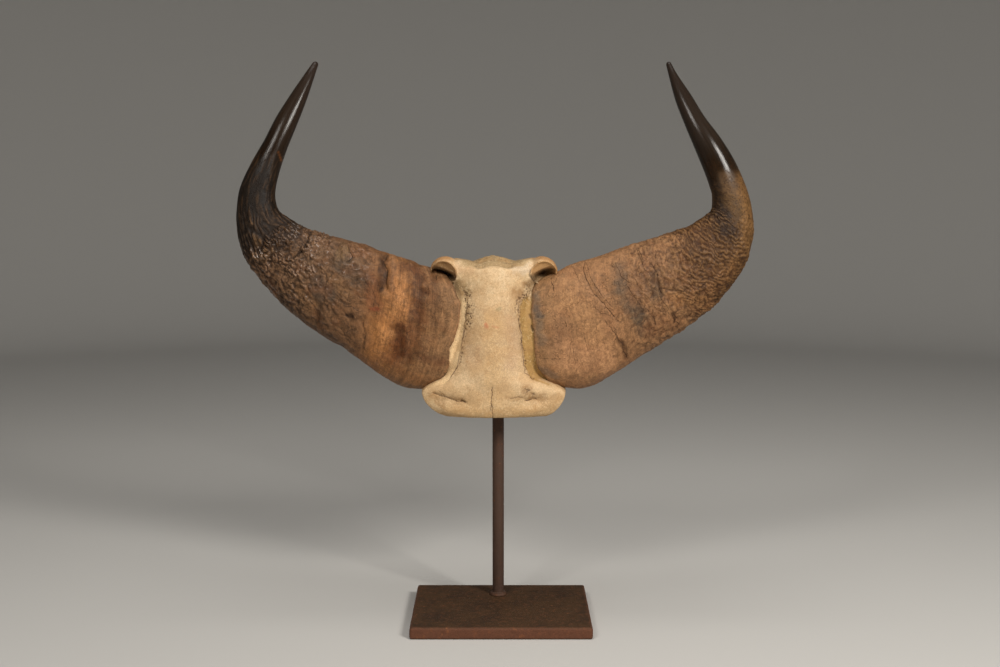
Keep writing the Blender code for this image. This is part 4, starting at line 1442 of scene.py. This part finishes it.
    def build(self, cores: Sequence[Piece]) -> None:
        """Copy the solid, join the horn cores to it, remesh it finely, shape its relief and dress it.

        Args:
            cores: Stubs of the horn cores, which are used up.
        """
        piece = bpy.data.objects.new(self.name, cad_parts[self.node].data.copy())
        piece.data.name = self.name
        bpy.context.scene.collection.objects.link(piece)
        merge_doubles(piece, SOLID_MERGE, closed=False)
        select(piece, *cores)
        bpy.ops.object.join()
        apply_modifier(piece, "REMESH", mode="VOXEL", voxel_size=self.voxel, adaptivity=0.0)
        apply_modifier(piece, "SMOOTH", factor=self.smooth_factor, iterations=self.smooth_rounds)
        self.shape(piece)
        place_piece(piece, self.finish.build(), self.node, self.slot)

    def shape(self, piece: Piece) -> None:
        """Push the fine mesh in and out by its relief, and keep its colours and masks for the finish.

        Args:
            piece: The remeshed bone.
        """
        mm = vectors(piece.data.vertices, "co") / MM
        facing = vectors(piece.data.vertex_normals, "vector")
        grain = Grain(self.seed)
        x, y, z = mm.T
        reach = np.abs(x - self.midline)
        front = smoothstep(0.15, 0.6, -facing[:, 1])
        sawn, depth, marrow = self.sawn_back(mm, facing, grain)
        spots = grain.drift((x, z), mm, self.drift, self.drift_lump, (0.0, 5.0))
        wide = grain.drift((x, z), mm, self.wide_drift, self.wide_lump, (2.0, 8.0))
        hole = all_near(self.holes, (x, z)) * front
        pit_zone = all_near(self.pit_bands, wide) * front
        pit = pit_zone * (1 - smoothstep(0.16, 0.52, grain.cells(grain.warped(mm, 4.0, 0.8) / 4.2)[0]))
        strips = smoothstep(318, 326, z) * (1 - smoothstep(434, 444, z)) * front
        left = smoothstep(0.0, 1.8, np.interp(z, self.strip_levels, self.left_strip) - spots[0]) * strips
        right = smoothstep(0.0, 1.8, spots[0] - np.interp(z, self.strip_levels, self.right_strip)) * strips
        nape = smoothstep(-2, 5, y) * smoothstep(468, 476, z) * (1 - smoothstep(36, 50, reach)) * (1 - sawn)
        scoop, filled = self.scoops(mm, facing)
        height = 0.42 * grain.rough(mm / 26) + 0.18 * grain.rough(mm / 7.5) + 0.10 * grain.smooth(mm / 3.2)
        height += front * (all_near(self.swells, wide) - all_near(self.grooves, spots))
        height -= (0.30 * left + 0.85 * right) + 0.10 * right * grain.rough(mm / 3.4) + 1.0 * pit + 1.6 * hole
        height += nape * 0.45 * grain.rough(mm / 4.6)
        height = height * (1 - sawn) - depth
        rim = smoothstep(0.25, 0.7, facing[:, 2]) * (1 - smoothstep(38, 48, reach)) * smoothstep(470, 476, z)
        moved = mm + facing * height[:, None]
        moved[:, 1] -= filled
        moved[:, 2] -= self.rim_drop * rim * hump(y - 2, 6.0)
        move_points(piece, moved * MM)
        mottle = grain.rough(mm / 6)
        tone = stops_at(self.ground, z + 5 * grain.smooth(mm / 20))
        tone = blend(tone, smoothstep(8, 34, y), self.back)
        for wash in self.washes:
            tone = wash.over(tone, wide, mottle, front)
        arch = smoothstep(466, 474, z) * smoothstep(48, 62, reach) * smoothstep(-2, 8, y + 4 * mottle)
        layers = (
            # The left strip: its own pale colour, with painted light against the shade on its sideways face.
            (left, self.pale_lit_strip),
            (0.95 * right * (1 + 0.1 * mottle), self.yellow_strip),
            (0.9 * arch, self.orange),
            (0.9 * nape, self.nape),
            # Painted light: the upper wall of each hollow is made paler against the shadow that falls in it.
            (0.9 * scoop * smoothstep(464, 474, z), self.lit_scoop_wall),
            (0.85 * scoop * (x < self.midline), self.scoop_shade),
            # Painted shade: the dark pocket under each loop.
            (0.85 * scoop * all_near(self.dark_slots, wide), self.dirt_and_shade),
            # Pits and holes: brown dirt in them, with painted shade in their hollows.
            (0.40 * pit + 0.85 * hole, self.dirt_and_shade),
            (0.8 * sawn, self.saw_cut),
            (marrow, self.marrow),
        )
        for share, over in layers:
            tone = blend(tone, share, over)
        cloudy = 0.05 * grain.rough(mm / 24) + 0.035 * mottle + 0.035 * grain.rough(mm / 2.4)
        marks = line_marks(self.cracks, spots, front)
        marks["pit"] = pit_zone + 0.5 * nape * smoothstep(0.0, 0.4, grain.smooth(mm / 6))
        paint(piece, tone * (1 + cloudy)[:, None], marks)

    def scoops(self, mm: Array, facing: Array) -> tuple[Array, Array]:
        """The hollows under the crown's loops.

        Args:
            mm: The mesh's points in millimetres.
            facing: Its normals.

        Returns:
            How far each point is on a hollow's wall, and how far it fills forwards there.
        """
        side = np.where(mm[:, 0] > self.midline, 1.0, -1.0)
        away = mm - (self.midline, *self.scoop_centre[1:])
        away[:, 0] -= side * self.scoop_centre[0]
        slope = away / np.square(self.scoop_radii)
        share = (away * slope).sum(axis=1)
        inward = -(facing * slope).sum(axis=1) / (np.linalg.norm(slope, axis=1) + TINY)
        wall = smoothstep(0.70, 0.84, share) * (1 - smoothstep(1.12, 1.26, share)) * smoothstep(0.0, 0.4, inward)
        upper = smoothstep(-1.0, 8.0, away[:, 2] - 0.4 * side * away[:, 0])
        return wall, wall * upper * self.scoop_fill * np.maximum(0, away[:, 1] + 6)

    def sawn_back(self, mm: Array, facing: Array, grain: Grain) -> tuple[Array, Array, Array]:
        """The flat saw cut, with a solid rim and open cells of the sinus inside it.

        Args:
            mm: The mesh's points in millimetres.
            facing: Its normals.
            grain: Noise and cells.

        Returns:
            How far each point is on the cut, how deep the cells sink there, and how brown they are.
        """
        lean = math.hypot(1.0, self.saw_slope)
        away = (mm[:, 1] - self.saw_foot_y - (mm[:, 2] - self.saw_foot_z) * self.saw_slope) / lean
        outward = (facing[:, 1] - facing[:, 2] * self.saw_slope) / lean
        sawn = smoothstep(-0.9, -0.3, away) * smoothstep(0.75, 0.95, outward)
        rim = np.flatnonzero((sawn < 0.5) & (away > -3.0))
        tree = KDTree(len(rim))
        for index, point in enumerate(mm[rim]):
            tree.insert(point, index)
        tree.balance()
        gap = np.zeros(len(mm))
        for index in np.flatnonzero(sawn >= 0.5):
            gap[index] = tree.find(mm[index])[2]
        across = np.stack([mm[:, 0], mm[:, 2] * lean, np.zeros(len(mm))], axis=-1)
        loose = grain.warped(across, 16.0, 4.0)
        _, cell_edge, mark = grain.cells(loose / (15.0, 15.0, 60.0))
        _, small_edge, _ = grain.cells(loose / (4.4, 4.4, 60.0))
        inner = smoothstep(3.6, 5.6, gap + 0.8 * grain.smooth(across / 9))
        open_cell = inner * smoothstep(0.06, 0.17, cell_edge) * smoothstep(0.10, 0.22, mark)
        spongy = inner * (1 - open_cell) * smoothstep(0.10, 0.3, small_edge)
        depth = sawn * (open_cell * (3.2 + 2.6 * mark) + 0.5 * spongy + 0.05 * np.sin(mm[:, 2] * 1.9))
        return sawn, depth, sawn * np.maximum(open_cell * 0.9, 0.4 * spongy)


@dataclass(frozen=True)
class RustFinish:
    """Rusted mild steel: dark brown with redder blotches, and orange where it is scaled or worn."""

    name: str
    ground: Colour
    red: Colour
    orange: Colour
    edge_share: float
    streak: float
    dark: Colour = (44, 30, 21)
    rough: float = 0.72
    bump_depth: float = 0.0006

    def build(self) -> bpy.types.Material:
        """Make the material, which reads the mask of edges that the steel carries.

        Returns:
            The material.
        """
        graph = Graph(self.name, self.rough, specular=0.4, metallic=0.25)
        cloud = graph.noise(0.030, 4.0, 0.6, graph.stretched((1.0, 1.0, self.streak)))
        mottle = graph.noise(0.0075, 5.0, 0.68)
        grit = graph.noise(0.0013, 3.0, 0.7)
        edge = graph.attribute("edge")
        fleck = graph.cells(0.011).ramp(0.16, 0.06) * cloud.ramp(0.46, 0.60)
        colour = self.dark
        layers = (
            (0.45 + cloud.ramp(0.28, 0.62) * 0.55, self.ground),
            (mottle.ramp(0.48, 0.66) * 0.30, self.red),
            (edge * (0.45 + self.edge_share * mottle), self.red),
            (mottle.ramp(0.56, 0.70) * (0.08 + 0.72 * edge), self.orange),
            (fleck * 0.8, self.orange),
            (grit.ramp(0.52, 0.70) * 0.35, self.dark),
        )
        for share, over in layers:
            colour = graph.mix(share, colour, over)
        graph.bump(mottle + grit * 0.7, self.bump_depth, 0.8)
        return graph.finish(colour, self.rough + 0.25 * (mottle - 0.5))


@dataclass
class Stand:
    """The rusted round upright with its weld, and the thick base plate."""

    width: float = 0.240
    depth: float = 0.194
    thickness: float = 0.016
    corner: float = 0.0025
    edge: float = 0.0012
    edge_angle: float = 40.0
    rod_radius: float = 0.008
    rod_x: float = -0.004
    rod_y: float = 0.051
    rod_top: float = 0.458
    rod_rows: int = 340
    rod_columns: int = 61
    chamfer: Row = (0.0003, 0.001)
    pitting: float = 0.00022
    gap: float = 0.0003
    weld_spread: float = 0.0045
    weld_height: float = 0.004
    weld_rows: int = 13
    weld_reach: float = 0.006
    voxel: float = 0.0016
    seed: int = 5
    rod_finish: RustFinish = RustFinish(
        "rod_rust", ground=(88, 66, 54), red=(96, 64, 46), orange=(128, 82, 52), edge_share=0.3, streak=0.12
    )
    base_finish: RustFinish = RustFinish(
        "base_rust", ground=(82, 58, 35), red=(118, 74, 53), orange=(140, 88, 54), edge_share=0.8, streak=1.0
    )

    def build_base(self) -> None:
        """Bevel a block, remesh it, and give its faces the low scale of rust."""
        select()
        bpy.ops.mesh.primitive_cube_add(size=1, location=(0, 0, self.thickness / 2))
        piece = bpy.context.object
        piece.name = piece.data.name = "steel_base"
        piece.scale = (self.width, self.depth, self.thickness)
        bpy.ops.object.transform_apply(location=True, rotation=True, scale=True)
        bpy.ops.object.mode_set(mode="EDIT")
        bpy.ops.mesh.select_all(action="DESELECT")
        bpy.ops.object.mode_set(mode="OBJECT")
        for edge in piece.data.edges:
            low, high = (piece.data.vertices[index].co.z for index in edge.vertices)
            edge.select = abs(low - high) > self.thickness / 2
        bpy.ops.object.mode_set(mode="EDIT")
        bpy.ops.mesh.select_mode(type="EDGE")
        bpy.ops.mesh.bevel(offset=self.corner, segments=6, affect="EDGES")
        sharp = math.radians(self.edge_angle)
        apply_modifier(piece, "BEVEL", width=self.edge, segments=3, limit_method="ANGLE", angle_limit=sharp)
        apply_modifier(piece, "REMESH", mode="VOXEL", voxel_size=self.voxel, adaptivity=0.0)
        mm = vectors(piece.data.vertices, "co") / MM
        facing = vectors(piece.data.vertex_normals, "vector")
        grain = Grain(self.seed)
        side = 1 - smoothstep(0.4, 0.8, np.abs(facing[:, 2]))
        top = smoothstep(0.3, 0.9, facing[:, 2])
        scale = np.minimum(0, grain.rough(mm / 6.0)) * 0.22 + 0.06 * grain.smooth(mm / 20) - 0.06
        nicks = 0.45 * smoothstep(0.35, 0.8, grain.rough(mm / (9.0, 9.0, 5.0))) * side
        height = scale * np.maximum(side, 0.6 * top) - nicks
        move_points(piece, (mm + facing * height[:, None]) * MM)
        near_edge = np.min([self.width / 2 / MM - np.abs(mm[:, 0]), self.depth / 2 / MM - np.abs(mm[:, 1])], axis=0)
        paint(piece, None, {"edge": np.maximum(side, 0.55 * (1 - smoothstep(0.5, 5.0, near_edge)))})
        place_piece(piece, self.base_finish.build(), "stand_base", "base_steel")

    def build_rod(self) -> None:
        """Wrap a bar with a lumpy weld bead at its foot and a small chamfer at its top."""
        grain = Grain(self.seed + 1)
        foot = self.thickness + self.gap
        low = np.linspace(0, self.weld_reach, self.weld_rows + 1)[:-1]
        lift = np.append(low, np.linspace(self.weld_reach, self.rod_top - foot, self.rod_rows))[:, None]
        bead = np.sqrt(np.clip(1 - (lift / self.weld_height) ** 2, 0, 1))
        turn = np.linspace(0, TURN, self.rod_columns)
        turn[-1] = 0.0
        ring = np.stack(np.broadcast_arrays(np.cos(turn), np.sin(turn), lift), axis=-1)
        place = ring * (self.rod_radius, self.rod_radius, 1.0) / MM
        lumps = 0.9 + 0.16 * grain.smooth(place / (3.4, 3.4, 60.0))
        radius = self.rod_radius + self.weld_spread * bead * np.minimum(lumps, 1.0)
        radius = radius + np.minimum(0, grain.rough(place / (4.0, 4.0, 7.0))) * self.pitting * (1 - bead)
        radius[-2:] -= np.array(self.chamfer)[:, None]
        points = ring * np.stack([radius, radius, np.ones_like(radius)], axis=-1) + (self.rod_x, self.rod_y, foot)
        ends = [np.ones((1, self.rod_columns, 3)) * (self.rod_x, self.rod_y, end) for end in (foot, self.rod_top)]
        piece = wrapped_grid("steel_rod", np.concatenate([ends[0], points, ends[1]]))
        paint(piece, None, {"edge": np.pad(bead, ((1, 1), (0, 0)), mode="edge") * np.ones_like(turn)})
        merge_doubles(piece, MERGE, closed=True)
        place_piece(piece, self.rod_finish.build(), "stand_rod", "rod_steel")


@dataclass(frozen=True)
class Lamp:
    """A soft rectangular light that faces the object: its place and size in metres, and its power in watts."""

    name: str
    place: Point3
    width: float
    height: float
    power: float
    colour: Colour

    def hang(self, aim: Point3) -> None:
        """Add the light, turned to face a point."""
        data = bpy.data.lights.new(self.name, "AREA")
        data.shape = "RECTANGLE"
        data.size, data.size_y, data.energy, data.color = self.width, self.height, self.power, self.colour
        lamp = bpy.data.objects.new(self.name, data)
        lamp.location = self.place
        lamp.rotation_euler = (Vector(aim) - Vector(self.place)).to_track_quat("-Z", "Y").to_euler()
        bpy.context.scene.collection.objects.link(lamp)


@dataclass
class Studio:
    """A pale seamless floor that curves up into a wall all round, soft lights and the photograph's camera."""

    camera_place: Point3 = (-0.0015, -1.852, 0.602)
    camera_pitch: float = 83.507
    lens: float = 50.0
    sensor: float = 36.0
    aim: Point3 = (0.0, 0.0, 0.5)
    lamps: tuple[Lamp, ...] = (
        Lamp("key_right", (1.29, -1.67, 1.54), 0.62, 0.62, 50.0, (1.0, 0.96, 0.90)),
        Lamp("key_left", (-0.92, -1.75, 1.76), 0.62, 0.60, 21.5, (1.0, 0.96, 0.90)),
        Lamp("top", (0.0, -0.2, 2.6), 1.2, 1.2, 16.0, (1.0, 0.97, 0.93)),
    )
    room_light: Row = (0.5, 0.5, 0.5, 1.0)
    room_strength: float = 0.38
    floor_size: float = 14.0
    floor_steps: int = 96
    flat_reach: float = 3.2
    curve: float = 0.8
    floor_tone: Row = (0.54, 0.53, 0.51, 1.0)
    floor_rough: float = 0.85

    def build(self) -> None:
        """Add the floor, the lights, the room's dim light and the camera."""
        self.backdrop()
        for lamp in self.lamps:
            lamp.hang(self.aim)
        scene = bpy.context.scene
        scene.world = bpy.data.worlds.new("room")
        scene.world.use_nodes = True
        back = scene.world.node_tree.nodes["Background"]
        back.inputs["Color"].default_value = self.room_light
        back.inputs["Strength"].default_value = self.room_strength
        scene.view_settings.view_transform = "Standard"
        camera = bpy.data.objects.new("camera", bpy.data.cameras.new("camera"))
        camera.data.lens = self.lens
        camera.data.sensor_width = self.sensor
        camera.location = self.camera_place
        camera.rotation_euler = (math.radians(self.camera_pitch), 0, 0)
        scene.collection.objects.link(camera)
        scene.camera = camera

    def backdrop(self) -> None:
        """Add a wide grid, flat in its middle and raised all round."""
        select()
        steps = self.floor_steps
        bpy.ops.mesh.primitive_grid_add(x_subdivisions=steps, y_subdivisions=steps, size=self.floor_size)
        floor = bpy.context.object
        floor.name = floor.data.name = "pale_floor"
        points = vectors(floor.data.vertices, "co")
        away = np.hypot(points[:, 0], points[:, 1])
        points[:, 2] = self.curve * np.maximum(0, away - self.flat_reach) ** 2
        move_points(floor, points)
        dress(floor, Graph("pale_floor", self.floor_rough, specular=0.15).finish(self.floor_tone))


def main() -> None:
    """Build the studio and every piece in order."""
    logging.basicConfig(level=logging.INFO, format="%(message)s")
    Studio().build()
    horns = (LeftHorn(), RightHorn())
    SkullBone().build([horn.core() for horn in horns])
    for horn in horns:
        horn.build()
    stand = Stand()
    stand.build_rod()
    stand.build_base()


if __name__ == "__main__":
    main()
